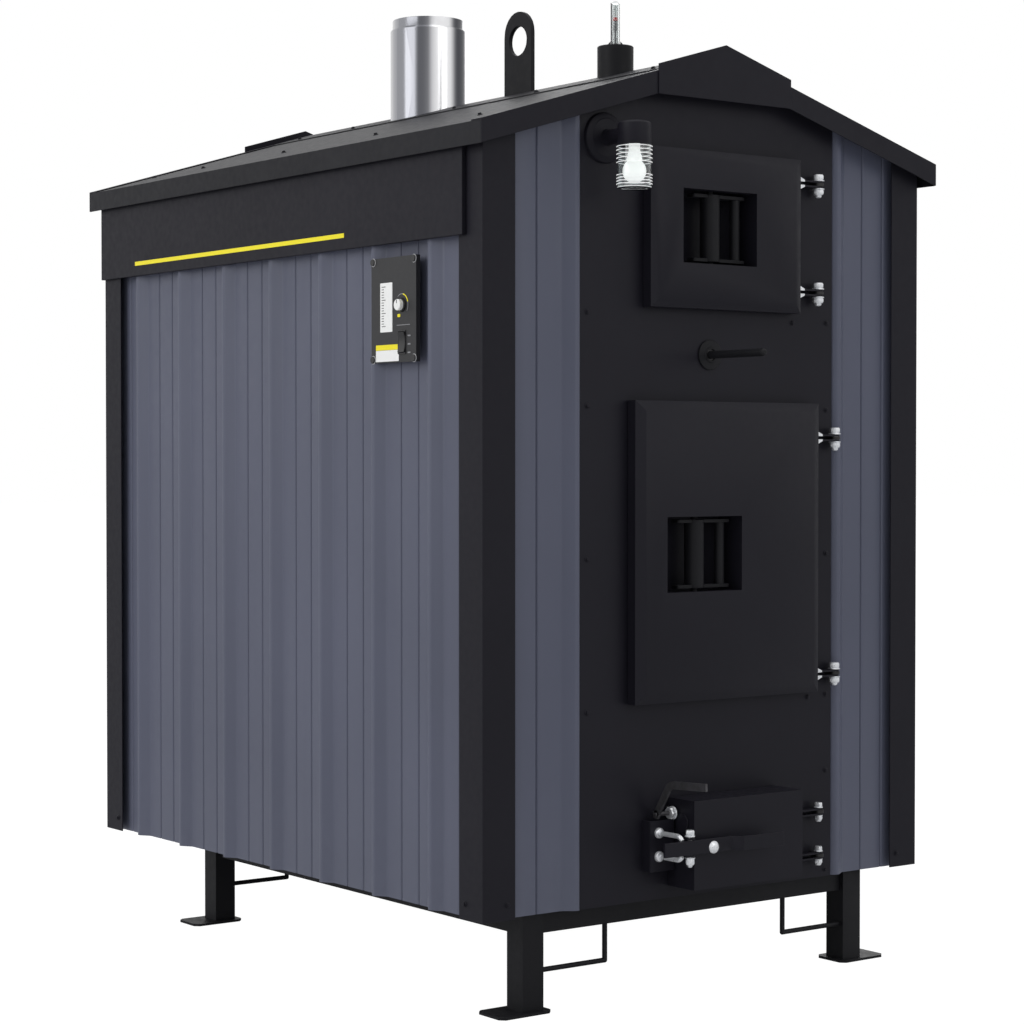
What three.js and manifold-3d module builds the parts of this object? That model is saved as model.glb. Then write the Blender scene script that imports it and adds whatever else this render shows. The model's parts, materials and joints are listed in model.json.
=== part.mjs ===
// Outdoor wood boiler: a ribbed steel house on four legs around a water tank, with a firebox,
// a smoke-tube heat exchanger, three front doors, a chimney and its controls.
// Millimetres, +Z up, the front of the boiler faces -Y.
import * as THREE from "three";
import { mergeVertices } from "three/addons/utils/BufferGeometryUtils.js";
import Module from "manifold-3d";

const wasm = await Module();
wasm.setup();

// ---------------------------------------------------------------- sizes
const gap = 0.3; // clearance between neighbouring pieces
const over = 1; // how far a joined piece reaches into its neighbour

const body = { width: 1333.5, depth: 1756.3, bottom: 227.7, eaveTop: 1965 };
const xWall = body.width / 2;
const yWall = body.depth / 2;
const frontWall = -yWall; // the front pieces keep their places from here

const roof = { rise: 0.3, eaveOverhang: 28.7, rakeOverhang: 33.1, sheet: 3, fasciaDrop: 50 };
const xEave = xWall + roof.eaveOverhang;
const yRake = yWall + roof.rakeOverhang;
const sheetDown = roof.sheet * Math.hypot(1, roof.rise); // sheet thickness measured straight down
const roofTopAt = (x) => body.eaveTop + (xEave - Math.abs(x)) * roof.rise;

const trim = { width: 88.9, sheet: 3 };
const rib = { height: 19, side: 27, top: 10, pitch: 228.6, sheet: 2 };
const groove = { depth: 2.5, width: 6, places: [121.5, 191] };
const xSheet = xWall - trim.sheet - gap - rib.height; // base plane of the side sheets
const ySheet = yWall - trim.sheet - gap - rib.height; // base plane of the end sheets
const sideSheet = { endRoom: 5.85, firstFoot: 733.4, ribs: 7 };
const sideHalfLength = ySheet - sideSheet.endRoom; // the side sheets stop short of the end sheets
const endSheet = { sideRoom: 6.45, rearRibs: 5, leftShift: 10, rightShift: 5, ribCentre: 403, panelRoom: 1.5 };
const endHalfWidth = xSheet - endSheet.sideRoom; // the end sheets stop short of the side sheets

const panel = { left: -394, right: 382, face: frontWall + 7.95, sheet: 3, edge: 16 };
const band = { front: 60, bottom: 1727, proud: 12, sheet: 2.5 };
const ridge = { halfWidth: 130, sheet: 3, halfLength: yWall - 4.15 };
const rake = { sheet: 3, face: 53, flange: 40 };
const peak = { halfWidth: 203, top: 2192, bottom: 2063, sheet: 3 };

const base = { floorBottom: 232, floor: 5, lap: 1, rail: 6, railBottom: 175.4 };
const baseHalfX = endHalfWidth + base.lap; // the floor carries the ends of the wall sheets
const baseHalfY = sideHalfLength;
const leg = {
  size: 58.5,
  wall: 5,
  xOuter: 522.8,
  yFrontFace: frontWall + 47.45,
  yRearFace: yWall - 286.4,
  foot: 6,
  footOut: 70,
  footIn: 16,
  footFront: 17,
  footRear: 22,
  footCorner: 12,
  railInset: 13,
};
const forkLoop = { radius: 6, drop: 92, reach: 276 };

const tank = { halfX: 500, front: frontWall + 48.15, rear: yWall - 88.15, bottom: 237.5, top: 1985, wall: 5 };
const jacket = { halfX: 560, front: frontWall + 30.15, rear: yWall - 32.15, top: 2080 };
const nipple = { radius: 21, bore: 17, reach: 75, x: 210, lowZ: 420, highZ: 1760 };

const fire = { halfX: 330, front: frontWall + 78.15, rear: yWall - 278.15, bottom: 470, top: 1530, wall: 6 };
const ashBox = { left: -130, right: 194, rear: 260, bottom: 262 };
const grateHole = { left: -100, right: 160, front: -590, rear: 190 };
const grate = { sheet: 13.7, rim: 22, slot: 16, slots: 9 };
const collar = { wall: 8, end: frontWall + 5.65 };
const throats = {
  upper: { left: -176, right: 215, bottom: 1618, top: 1912 },
  main: { left: -215, right: 269, bottom: 723, top: 1329 },
  ash: { left: -100, right: 164, bottom: 290, top: 428 },
};
const exchanger = { halfX: 290, front: frontWall + 78.15, rear: yWall - 408.15, top: 1930, wall: 6, frontPlate: frontWall + 278.15, rearPlate: yWall - 708.15 };
const smokeTube = { outer: 51, inner: 46, xs: [-210, -70, 70, 210], zs: [1640, 1800] };
const firePort = { halfX: 150, front: frontWall + 118.15, rear: frontWall + 238.15 };
const bypassPort = { halfX: 70, front: yWall - 638.15, rear: yWall - 518.15 };
const flue = { y: yWall - 588.15, radius: 95, bore: 90, top: 2060 };
const chimney = { radius: 101.5, bore: 98.5, shoulder: 2392, neck: 96, neckBore: 93, top: 2418, hole: 103 };
const eye = { y: -121, halfWidth: 57.5, halfThick: 6, topCentre: 2327.5, holeZ: 2310, hole: 37.5, foot: 8,
  footHalfX: 50, footHalfY: 80 };
const vent = { y: -511, radius: 44.45, bore: 40, top: 2239, cap: 4, capRadius: 47 };
const gauge = { radius: 8.5, bore: 7, top: 2352 };
const float = { rod: 2.5, radius: 30, bottom: 1905, top: 1945, marker: 5.5, markerLow: 2285, markerHigh: 2325 };

const bypass = { x: -10, z: 1480, rod: 9, bore: 9.6, tube: 13, flange: 35, flangeThick: 4, end: frontWall - 182.85 };
const damper = { halfX: 90, front: yWall - 818.15, rear: yWall - 648.15, bottom: 1516.5, top: 1523.5 };

const hingeY = frontWall - 12.05;
const lug = { thick: 7, head: 13, stemLeft: 9, stemRight: 6.5, stripFront: frontWall + 14.15, stripBack: frontWall + 26.15 };
const leaf = { thick: 4, space: 0.4, tip: 11, front: frontWall - 21.35, back: frontWall + 2.15 };
const pin = { radius: 8, bore: 8.3 };
const door = { skin: 4, skirt: frontWall + 5.15, seatFront: frontWall - 10.75, seatBack: frontWall - 6.75, plugInset: 14, vent: 6,
  slopeWidth: 24, slopeDepth: 10 };
const gasket = { width: 12, front: frontWall - 6.45, back: frontWall + 5.35 };
const recess = { depth: 85, wall: 3 };
const doors = {
  upper: {
    left: -212, right: 251, bottom: 1584, top: 1948, face: frontWall - 32.05, plugBack: frontWall + 63.15, sloped: true,
    hingeX: 318, lugZ: [1894, 1635.5], recessLeft: -123.5, recessRight: 102, recessBottom: 1687, recessTop: 1857,
  },
  main: {
    left: -257, right: 311, bottom: 681, top: 1371, face: frontWall - 32.05, plugBack: frontWall + 63.15, sloped: true,
    hingeX: 374.5, lugZ: [1289.5, 722.5], recessLeft: -170, recessRight: 57, recessBottom: 933, recessTop: 1106,
  },
  ash: {
    left: -136, right: 200, bottom: 257, top: 461, face: frontWall - 87.05, plugBack: frontWall + 33.15,
    hingeX: 323, lugZ: [391, 285.5],
  },
};
const largeBolt = { head: 12.5, headTall: 13, nut: 13, nutTall: 12, stub: 8, collarTall: 3, collar: 14.5 };
const smallBolt = { head: 9.5, headTall: 10, nut: 10, nutTall: 9, stub: 6, collarTall: 2.5, collar: 11 };
const handle = { axis: 112, depth: 38, tube: 23, plateBack: 60, plateFront: 100, halfDepth: 14,
  plate: 8, plateInset: 7, gripFrom: 65.5, gripTo: 89, stub: 8, stubReach: 12 };

const latch = {
  x: -160, y: frontWall - 99.85, hub: 10, bore: 6.4, bolt: 6, bottom: 345, top: 377, barBack: frontWall - 106.85, barFront: frontWall - 113.85,
  left: -245, bendFrom: -45, bendTo: -25, gripEnd: 100, gripBack: frontWall - 124.85, gripFront: frontWall - 131.85,
};
const airSlot = { left: -40, right: 100, front: frontWall + 19.25, back: frontWall + 43.25, bottom: 340, top: 380 };
const clevis = { thick: 4, space: 1.5, tip: 12, rootFront: frontWall - 83.85, rootBack: frontWall - 46.85 };
const keeper = { left: -211, right: -140, bottom: 297, top: 414, face: frontWall - 21.85, sheet: 4 };
const prong = { x: -187, radius: 5, zs: [386, 332], end: frontWall - 99.85, nut: 10, nutThick: 8, bend: 3, bendLength: 9 };
const draft = {
  y: frontWall - 18.85, z: 428, shaft: 5, shaftBore: 5.5, inner: -120, nutX: -146, nut: 12.5, nutThick: 9,
  barX: -193, bar: 6, ring: 11, half: 9, elbowY: frontWall - 64.85, elbowZ: 500, tipY: frontWall - 191.85, tipZ: 507,
  holeY: frontWall - 46.85, holeZ: 408, hole: 18, flap: 22, flapThick: 4,
};

const lamp = {
  x: -324, z: 1958, plate: 57.5, plateThick: 12, arm: 17, y: frontWall - 98.85, head: 37.5, headBottom: 1931, headTop: 1983,
  jar: 41, jarWall: 3, jarBottom: 1833, bulb: 27, bulbZ: 1873, neck: 14,
};
const control = { front: -636, rear: -455, bottom: 1457, top: 1696, proud: 11, sheet: 2 };
const dial = { y: -579, z: 1586, base: 16, grip: 13, proud: 14, spindle: 3, bore: 3.6 };
const rocker = { y: -580, z: 1502, halfY: 12.5, halfZ: 23.5, proud: 5, inside: 5, pivot: 2, clear: 0.6 };

// ---------------------------------------------------------------- materials
const finish = (color, roughness, metalness, more = {}) =>
  new THREE.MeshStandardMaterial({ color, roughness, metalness, ...more });
const finishes = {
  blackPaint: () => finish(0x242328, 0.42, 0.25),
  frameBlack: () => finish(0x1a1a1c, 0.5, 0.3),
  greySheet: () => finish(0x62646f, 0.45, 0.3),
  frontGrey: () => finish(0x5c5e6c, 0.45, 0.3),
  steelPlate: () => finish(0x6b6a68, 0.55, 0.8),
  castGrate: () => finish(0x3a3836, 0.7, 0.6),
  stainless: () => finish(0xd2d3d6, 0.22, 1),
  zinc: () => finish(0xd9dadc, 0.28, 1),
  foil: () => finish(0xb9b7a8, 0.8, 0),
  rope: () => finish(0xcfcabb, 0.95, 0),
  redMarker: () => finish(0xc8202a, 0.4, 0),
  clearGlass: () => finish(0xe9eef0, 0.05, 0, { transparent: true, opacity: 0.3 }),
  frostedGlass: () => finish(0xfdfdf6, 0.3, 0),
  blackPlastic: () => finish(0x17171a, 0.4, 0),
  whitePlastic: () => finish(0xe8e8e6, 0.4, 0),
};

// ---------------------------------------------------------------- shapes
const group = new THREE.Group();
group.name = "outdoor_wood_boiler";

// Turns a closed geometry into a solid that can be joined and cut.
function solid(geometry) {
  const bare = geometry.clone();
  bare.deleteAttribute("normal");
  bare.deleteAttribute("uv");
  const merged = mergeVertices(bare, 1e-4);
  return new wasm.Manifold(
    new wasm.Mesh({
      numProp: 3,
      vertProperties: new Float32Array(merged.attributes.position.array),
      triVerts: new Uint32Array(merged.index.array),
    }),
  );
}

// Adds one named piece to the boiler.
function piece(name, shape, material) {
  const mesh = shape.getMesh();
  const geometry = new THREE.BufferGeometry();
  geometry.setAttribute("position", new THREE.BufferAttribute(new Float32Array(mesh.vertProperties), 3));
  geometry.setIndex(new THREE.BufferAttribute(new Uint32Array(mesh.triVerts), 1));
  geometry.computeVertexNormals();
  const node = new THREE.Mesh(geometry, material);
  node.name = name;
  group.add(node);
  return node;
}

const joined = (...shapes) => shapes.flat().reduce((a, b) => a.add(b));
const cut = (shape, ...tools) => tools.flat().reduce((a, b) => a.subtract(b), shape);

function block(x0, x1, y0, y1, z0, z1) {
  const box = new THREE.BoxGeometry(x1 - x0, y1 - y0, z1 - z0);
  box.translate((x0 + x1) / 2, (y0 + y1) / 2, (z0 + z1) / 2);
  return solid(box);
}

function outline(points) {
  const shape = new THREE.Shape();
  points.forEach(([a, b], i) => (i ? shape.lineTo(a, b) : shape.moveTo(a, b)));
  shape.closePath();
  return shape;
}

const asShape = (profile) => (Array.isArray(profile) ? outline(profile) : profile);

function extruded(profile, length) {
  return new THREE.ExtrudeGeometry(asShape(profile), { depth: length, bevelEnabled: false, curveSegments: 6 });
}

// Profile in x and y, standing from z0 to z1.
function prismZ(profile, z0, z1) {
  return solid(extruded(profile, z1 - z0).translate(0, 0, z0));
}

// Profile in x and z, running from y0 to y1.
function prismY(profile, y0, y1) {
  return solid(extruded(profile, y1 - y0).rotateX(Math.PI / 2).translate(0, y1, 0));
}

// Profile in y and z, running from x0 to x1.
function prismX(profile, x0, x1) {
  const turn = new THREE.Matrix4().makeBasis(
    new THREE.Vector3(0, 1, 0),
    new THREE.Vector3(0, 0, 1),
    new THREE.Vector3(1, 0, 0),
  );
  return solid(extruded(profile, x1 - x0).applyMatrix4(turn).translate(x0, 0, 0));
}

// Round bar along one axis; a and b are its centre in the other two, in the order x, y, z.
function rod(axis, a, b, from, to, radius, sides = 16) {
  const bar = new THREE.CylinderGeometry(radius, radius, to - from, sides);
  const middle = (from + to) / 2;
  if (axis === "x") bar.rotateZ(Math.PI / 2).translate(middle, a, b);
  if (axis === "y") bar.translate(a, middle, b);
  if (axis === "z") bar.rotateX(Math.PI / 2).translate(a, b, middle);
  return solid(bar);
}

const hexAcross = (flatRadius) => flatRadius / Math.cos(Math.PI / 6);

function ball(x, y, z, radius, around = 16, high = 10) {
  return solid(new THREE.SphereGeometry(radius, around, high).rotateX(Math.PI / 2).translate(x, y, z));
}

// Turned shape about an upright axis; each profile point is radius and height.
function turned(profile, x, y, sides = 32) {
  const points = profile.map(([radius, z]) => new THREE.Vector2(radius, z));
  return solid(new THREE.LatheGeometry(points, sides).rotateX(Math.PI / 2).translate(x, y, 0));
}

// Round bar bent along straight runs, with a ball at each corner.
function bentRod(corners, radius, sides = 8) {
  const runs = corners.slice(1).map((end, i) => {
    const start = new THREE.Vector3(...corners[i]);
    const finishPoint = new THREE.Vector3(...end);
    const along = finishPoint.clone().sub(start);
    const bar = new THREE.CylinderGeometry(radius, radius, along.length(), sides);
    const turn = new THREE.Quaternion().setFromUnitVectors(new THREE.Vector3(0, 1, 0), along.normalize());
    bar.applyQuaternion(turn);
    const middle = start.add(finishPoint).multiplyScalar(0.5);
    return solid(bar.translate(middle.x, middle.y, middle.z));
  });
  const balls = corners.slice(1, -1).map(([x, y, z]) => ball(x, y, z, radius * 1.001, sides, 8));
  return joined(runs, balls);
}

// Rectangle of a throat grown by a margin, from y0 to y1.
function throatBlock(throat, margin, y0, y1) {
  return block(
    throat.left - margin,
    throat.right + margin,
    y0,
    y1,
    throat.bottom - margin,
    throat.top + margin,
  );
}

// Everything below the roof sheets and inside their folded edges.
const roofLevel = (x, drop) => roofTopAt(x) - sheetDown - drop;
function belowRoof(drop) {
  const x = xEave - roof.sheet - gap;
  return prismY(
    [
      [-x, 0],
      [x, 0],
      [x, roofLevel(x, drop)],
      [0, roofLevel(0, drop)],
      [-x, roofLevel(x, drop)],
    ],
    -yRake,
    yRake,
  );
}
const underRoof = belowRoof(gap);

// ---------------------------------------------------------------- base frame and legs
function legBlock(side, end, margin, z0, z1) {
  const x0 = side < 0 ? -leg.xOuter : leg.xOuter - leg.size;
  const y0 = end < 0 ? leg.yFrontFace : leg.yRearFace - leg.size;
  return block(x0 - margin, x0 + leg.size + margin, y0 - margin, y0 + leg.size + margin, z0, z1);
}

const corners = [
  ["front_left", -1, -1],
  ["front_right", 1, -1],
  ["rear_left", -1, 1],
  ["rear_right", 1, 1],
];
const railX = leg.xOuter - leg.railInset;
const railFront = leg.yFrontFace + leg.railInset;
const railRear = leg.yRearFace - leg.railInset;
const railTop = base.floorBottom + over;

function baseFrame() {
  const floorTop = base.floorBottom + base.floor;
  const floor = block(-baseHalfX, baseHalfX, -baseHalfY, baseHalfY, base.floorBottom, floorTop);
  const ring = cut(
    block(-railX, railX, railFront, railRear, base.railBottom, railTop),
    block(
      -railX + base.rail,
      railX - base.rail,
      railFront + base.rail,
      railRear - base.rail,
      base.railBottom - over,
      railTop + over,
    ),
  );
  const crossings = [-1 / 6, 1 / 6].map((share) => {
    const y = (railFront + railRear) / 2 + share * (railRear - railFront);
    return block(-railX + over, railX - over, y - base.rail / 2, y + base.rail / 2, base.railBottom, railTop);
  });
  const legRoom = corners.map(([, side, end]) => legBlock(side, end, gap, 0, base.floorBottom));
  const outriggers = [-1, 1].map((end) => {
    const y = end < 0 ? -baseHalfY + base.rail : baseHalfY - base.rail;
    return block(-baseHalfX, baseHalfX, Math.min(y, y - end * base.rail), Math.max(y, y - end * base.rail),
      body.bottom + 0.3, railTop);
  });
  return cut(joined(floor, ring, crossings, outriggers), legRoom);
}
piece("base_frame", baseFrame(), finishes.frameBlack());

function legPiece(side, end) {
  const top = base.floorBottom - gap;
  const post = cut(
    legBlock(side, end, 0, leg.foot - over, top),
    legBlock(side, end, -leg.wall, leg.foot, top + over),
  );
  const xOut = side * (leg.xOuter + leg.footOut);
  const xIn = side * (leg.xOuter - leg.size - leg.footIn);
  const front = end < 0 ? leg.yFrontFace : leg.yRearFace - leg.size;
  const y0 = front - leg.footFront;
  const y1 = front + leg.size + leg.footRear;
  const x0 = Math.min(xOut, xIn);
  const x1 = Math.max(xOut, xIn);
  const c = leg.footCorner;
  const foot = prismZ(
    [
      [x0 + c, y0],
      [x1 - c, y0],
      [x1, y0 + c],
      [x1, y1 - c],
      [x1 - c, y1],
      [x0 + c, y1],
      [x0, y1 - c],
      [x0, y0 + c],
    ],
    0,
    leg.foot,
  );
  const loopY = end < 0 ? railFront + base.rail / 2 : railRear - base.rail / 2;
  const legInner = leg.xOuter - leg.size + over;
  const loop = bentRod(
    [
      [side * legInner, loopY, forkLoop.drop],
      [side * forkLoop.reach, loopY, forkLoop.drop],
      [side * forkLoop.reach, loopY, base.railBottom - gap],
    ],
    forkLoop.radius,
  );
  return joined(post, foot, loop);
}
for (const [place, side, end] of corners) {
  piece("leg_" + place, legPiece(side, end), finishes.frameBlack());
}

// ---------------------------------------------------------------- ribbed sheets
// Height of the sheet line above its base plane, as corner points along the sheet.
function ribPoints(rearFoot) {
  return [
    [rearFoot, 0],
    [rearFoot - rib.side, rib.height],
    [rearFoot - rib.side - rib.top, rib.height],
    [rearFoot - 2 * rib.side - rib.top, 0],
  ];
}
function groovePoints(centre) {
  return [
    [centre + groove.width / 2, 0],
    [centre, -groove.depth],
    [centre - groove.width / 2, 0],
  ];
}
const heightOn = (points, at) => {
  const i = points.findIndex(([place]) => place <= at);
  const [a0, h0] = points[i - 1];
  const [a1, h1] = points[i];
  return h0 + ((h1 - h0) * (at - a0)) / (a1 - a0);
};
// Sheet line clipped between two ends, running from the larger place to the smaller.
function sheetLine(from, to, feet, grooves) {
  const inner = [...feet.flatMap(ribPoints), ...grooves.flatMap(groovePoints)].sort((a, b) => b[0] - a[0]);
  const full = [[1e4, 0], ...inner, [-1e4, 0]];
  const inside = inner.filter(([place]) => place < from && place > to);
  return [[from, heightOn(full, from)], ...inside, [to, heightOn(full, to)]];
}
const ribCount = (n) => Array.from({ length: n }, (_, i) => i);

const sideFeet = ribCount(sideSheet.ribs).map((i) => sideSheet.firstFoot - rib.pitch * i);
const sideGrooves = ribCount(sideSheet.ribs + 1).flatMap((i) =>
  groove.places.map((place) => sideSheet.firstFoot + rib.pitch * (1 - i) - place),
);
const sideLine = sheetLine(sideHalfLength, -sideHalfLength, sideFeet, sideGrooves);
const ribSpan = 2 * rib.side + rib.top;

function sideSheetPiece(side) {
  const outer = sideLine.map(([y, h]) => [side * (xSheet + h), y]);
  const inner = sideLine.map(([y, h]) => [side * (xSheet + h - rib.sheet), y]).reverse();
  return prismZ([...outer, ...inner], body.bottom, peak.top).intersect(underRoof);
}

function endSheetPiece(end, line) {
  const outer = line.map(([x, h]) => [x, end * (ySheet + h)]);
  const inner = line.map(([x, h]) => [x, end * (ySheet + h - rib.sheet)]).reverse();
  return prismZ([...outer, ...inner], body.bottom, peak.top).intersect(underRoof);
}

const frontRibFoot = endSheet.ribCentre + ribSpan / 2;
const grooveFromRib = groove.places.map((place) => place - ribSpan / 2);
const leftLine = sheetLine(
  panel.left - endSheet.panelRoom,
  -endHalfWidth,
  [-endSheet.ribCentre + ribSpan / 2],
  grooveFromRib.map((place) => -endSheet.ribCentre - place - endSheet.leftShift),
);
const rightLine = sheetLine(
  endHalfWidth,
  panel.right + endSheet.panelRoom,
  [frontRibFoot],
  grooveFromRib.map((place) => endSheet.ribCentre + place + endSheet.rightShift),
);
const rearCentres = ribCount(endSheet.rearRibs).map((i) => (i - (endSheet.rearRibs - 1) / 2) * rib.pitch);
const rearLine = sheetLine(
  endHalfWidth,
  -endHalfWidth,
  rearCentres.map((x) => x + ribSpan / 2),
  rearCentres.flatMap((x) => grooveFromRib.map((place) => x - place)),
);

const nippleTools = (margin) =>
  [
    [-nipple.x, nipple.lowZ],
    [nipple.x, nipple.highZ],
  ].map(([x, z]) => rod("y", x, z, tank.rear - tank.wall - over, yWall + nipple.reach + over, nipple.radius + margin));

// ---------------------------------------------------------------- hinge lugs of the throats
// Plan view of a lug: a strip behind the front panel, a stem through it and a round eye on the pin.
function lugOutline(hingeX, collarX) {
  const shape = new THREE.Shape();
  shape.moveTo(collarX - over, lug.stripFront);
  shape.lineTo(hingeX - lug.stemLeft, lug.stripFront);
  shape.lineTo(hingeX - lug.head, hingeY);
  shape.absarc(hingeX, hingeY, lug.head, Math.PI, 2 * Math.PI, false);
  shape.lineTo(hingeX + lug.stemRight, lug.stripFront);
  shape.lineTo(hingeX + lug.stemRight, lug.stripBack);
  shape.lineTo(collarX - over, lug.stripBack);
  shape.closePath();
  return shape;
}

function lugs(name) {
  const { hingeX, lugZ } = doors[name];
  const collarX = throats[name].right + collar.wall;
  return lugZ.map((z) =>
    cut(
      prismZ(lugOutline(hingeX, collarX), z - lug.thick / 2, z + lug.thick / 2),
      rod("z", hingeX, hingeY, z - lug.thick, z + lug.thick, pin.bore),
    ),
  );
}

function lugSlots(name) {
  const { hingeX, lugZ } = doors[name];
  const right = hingeX + lug.head + 1;
  return lugZ.map((z) =>
    block(
      hingeX - lug.head - 1,
      right > panel.right - 12 ? panel.right + 1 : right,
      panel.face - 1,
      panel.face + panel.edge + 1,
      z - lug.thick / 2 - 0.6,
      z + lug.thick / 2 + 0.6,
    ),
  );
}

// ---------------------------------------------------------------- front panel and end sheets
function frontPanel() {
  const back = panel.face + panel.sheet;
  const plate = block(panel.left, panel.right, panel.face, back, body.bottom, peak.top);
  const edges = [
    block(panel.left, panel.left + panel.sheet, panel.face, panel.face + panel.edge, body.bottom, peak.top),
    block(panel.right - panel.sheet, panel.right, panel.face, panel.face + panel.edge, body.bottom, peak.top),
    block(panel.left, panel.right, panel.face, panel.face + panel.edge, body.bottom, body.bottom + panel.sheet),
  ];
  const tools = [
    ...Object.values(throats).map((t) => throatBlock(t, collar.wall + gap, panel.face - 1, back + 1)),
    ...Object.keys(throats).flatMap(lugSlots),
    rod("y", bypass.x, bypass.z, panel.face - 1, back + 1, bypass.tube + gap),
  ];
  return cut(joined(plate, edges), tools).intersect(underRoof);
}

piece("left_wall_sheet", sideSheetPiece(-1), finishes.greySheet());
piece("right_wall_sheet", sideSheetPiece(1), finishes.greySheet());
piece("rear_wall_sheet", cut(endSheetPiece(1, rearLine), nippleTools(3)), finishes.greySheet());
piece("front_left_sheet", endSheetPiece(-1, leftLine), finishes.frontGrey());
piece("front_right_sheet", endSheetPiece(-1, rightLine), finishes.frontGrey());
piece("front_panel", frontPanel(), finishes.blackPaint());

// ---------------------------------------------------------------- trims and bands
function cornerTrim(side, end) {
  const l = [
    [side * xWall, end * yWall],
    [side * (xWall - trim.width), end * yWall],
    [side * (xWall - trim.width), end * (yWall - trim.sheet)],
    [side * (xWall - trim.sheet), end * (yWall - trim.sheet)],
    [side * (xWall - trim.sheet), end * (yWall - trim.width)],
    [side * xWall, end * (yWall - trim.width)],
  ];
  return prismZ(l, body.bottom, peak.top).intersect(underRoof);
}
for (const [place, side, end] of corners) {
  piece("corner_trim_" + place, cornerTrim(side, end), finishes.blackPaint());
}

function sideBand(side) {
  const near = xWall + gap;
  const far = xWall + band.proud;
  const low = -yWall + band.front;
  const high = yWall;
  const top = roofLevel(far, gap);
  const s = band.sheet;
  const outer = block(Math.min(side * near, side * far), Math.max(side * near, side * far), low, high, band.bottom, top);
  const hollow = block(
    Math.min(side * (near - 1), side * (far - s)),
    Math.max(side * (near - 1), side * (far - s)),
    low + s,
    high - s,
    band.bottom + s,
    top - s,
  );
  return cut(outer, hollow).intersect(underRoof);
}
piece("side_band_left", sideBand(-1), finishes.blackPaint());
piece("side_band_right", sideBand(1), finishes.blackPaint());

// ---------------------------------------------------------------- roof
const roofHoles = () => [
  rod("z", 0, flue.y, body.eaveTop, chimney.top, chimney.hole, 32),
  block(-eye.halfThick - 2, eye.halfThick + 2, eye.y - eye.halfWidth - 2, eye.y + eye.halfWidth + 2, body.eaveTop, peak.top + 50),
  rod("z", 0, vent.y, body.eaveTop, vent.top + 20, vent.radius + 2),
];

function roofSheet(side) {
  const profile = [
    [side * 0.5, roofTopAt(0.5)],
    [side * xEave, roofTopAt(xEave)],
    [side * xEave, body.eaveTop - roof.fasciaDrop],
    [side * (xEave - roof.sheet), body.eaveTop - roof.fasciaDrop],
    [side * (xEave - roof.sheet), roofTopAt(xEave - roof.sheet) - sheetDown],
    [side * 0.5, roofTopAt(0.5) - sheetDown],
  ];
  return cut(prismY(profile, -yRake, yRake), roofHoles());
}
piece("roof_sheet_left", roofSheet(-1), finishes.blackPaint());
piece("roof_sheet_right", roofSheet(1), finishes.blackPaint());

function chevron(halfWidth, low, high, y0, y1) {
  const profile = [
    [-halfWidth, roofTopAt(halfWidth) + high],
    [-halfWidth, roofTopAt(halfWidth) + low],
    [0, roofTopAt(0) + low],
    [halfWidth, roofTopAt(halfWidth) + low],
    [halfWidth, roofTopAt(halfWidth) + high],
    [0, roofTopAt(0) + high],
  ];
  return prismY(profile, y0, y1);
}
piece(
  "ridge_cap",
  cut(chevron(ridge.halfWidth, gap, gap + ridge.sheet, -ridge.halfLength, ridge.halfLength), roofHoles()),
  finishes.blackPaint(),
);

function rakeTrim(end) {
  const inner = yRake + gap;
  const outer = inner + rake.sheet;
  const high = gap + rake.sheet;
  const spanY = (a, b) => [Math.min(end * a, end * b), Math.max(end * a, end * b)];
  const face = chevron(xEave, high - rake.face, high, ...spanY(inner, outer));
  const flange = chevron(xEave, gap, high, ...spanY(outer - rake.flange, outer));
  return joined(face, flange);
}
piece("rake_trim_front", rakeTrim(-1), finishes.blackPaint());
piece("rake_trim_rear", rakeTrim(1), finishes.blackPaint());

function peakPlate(end) {
  const near = yRake + gap + rake.sheet + gap;
  const far = near + peak.sheet;
  const side = peak.top - roof.rise * peak.halfWidth;
  const profile = [
    [-peak.halfWidth, peak.bottom],
    [peak.halfWidth, peak.bottom],
    [peak.halfWidth, side],
    [0, peak.top],
    [-peak.halfWidth, side],
  ];
  return prismY(profile, Math.min(end * near, end * far), Math.max(end * near, end * far));
}
piece("peak_plate_front", peakPlate(-1), finishes.blackPaint());
piece("peak_plate_rear", peakPlate(1), finishes.blackPaint());

// ---------------------------------------------------------------- water tank and its jacket
const tankFittings = (margin) => [
  ...Object.values(throats).map((t) => throatBlock(t, collar.wall + margin, collar.end - 1, tank.front + tank.wall + 1)),
  rod("y", bypass.x, bypass.z, collar.end - 1, tank.front + tank.wall + 1, bypass.tube + margin),
];

function waterTank() {
  const { halfX, front, rear, bottom, top, wall } = tank;
  const shell = cut(
    block(-halfX, halfX, front, rear, bottom, top),
    block(-halfX + wall, halfX - wall, front + wall, rear - wall, bottom + wall, top - wall),
    rod("z", 0, flue.y, top - wall - 1, top + 1, flue.radius + gap + 1, 24),
    rod("z", 0, vent.y, top - wall - 1, top + 1, vent.bore),
    tankFittings(gap),
  );
  const pipes = nippleTools(0);
  const bores = [
    [-nipple.x, nipple.lowZ],
    [nipple.x, nipple.highZ],
  ].map(([x, z]) => rod("y", x, z, rear - wall - 10, yWall + nipple.reach + 10, nipple.bore));
  const trimEnd = block(-halfX, halfX, yWall + nipple.reach, yWall + nipple.reach + 20, bottom, top);
  return cut(joined(shell, pipes), bores, trimEnd);
}
piece("water_tank", waterTank(), finishes.steelPlate());

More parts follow.
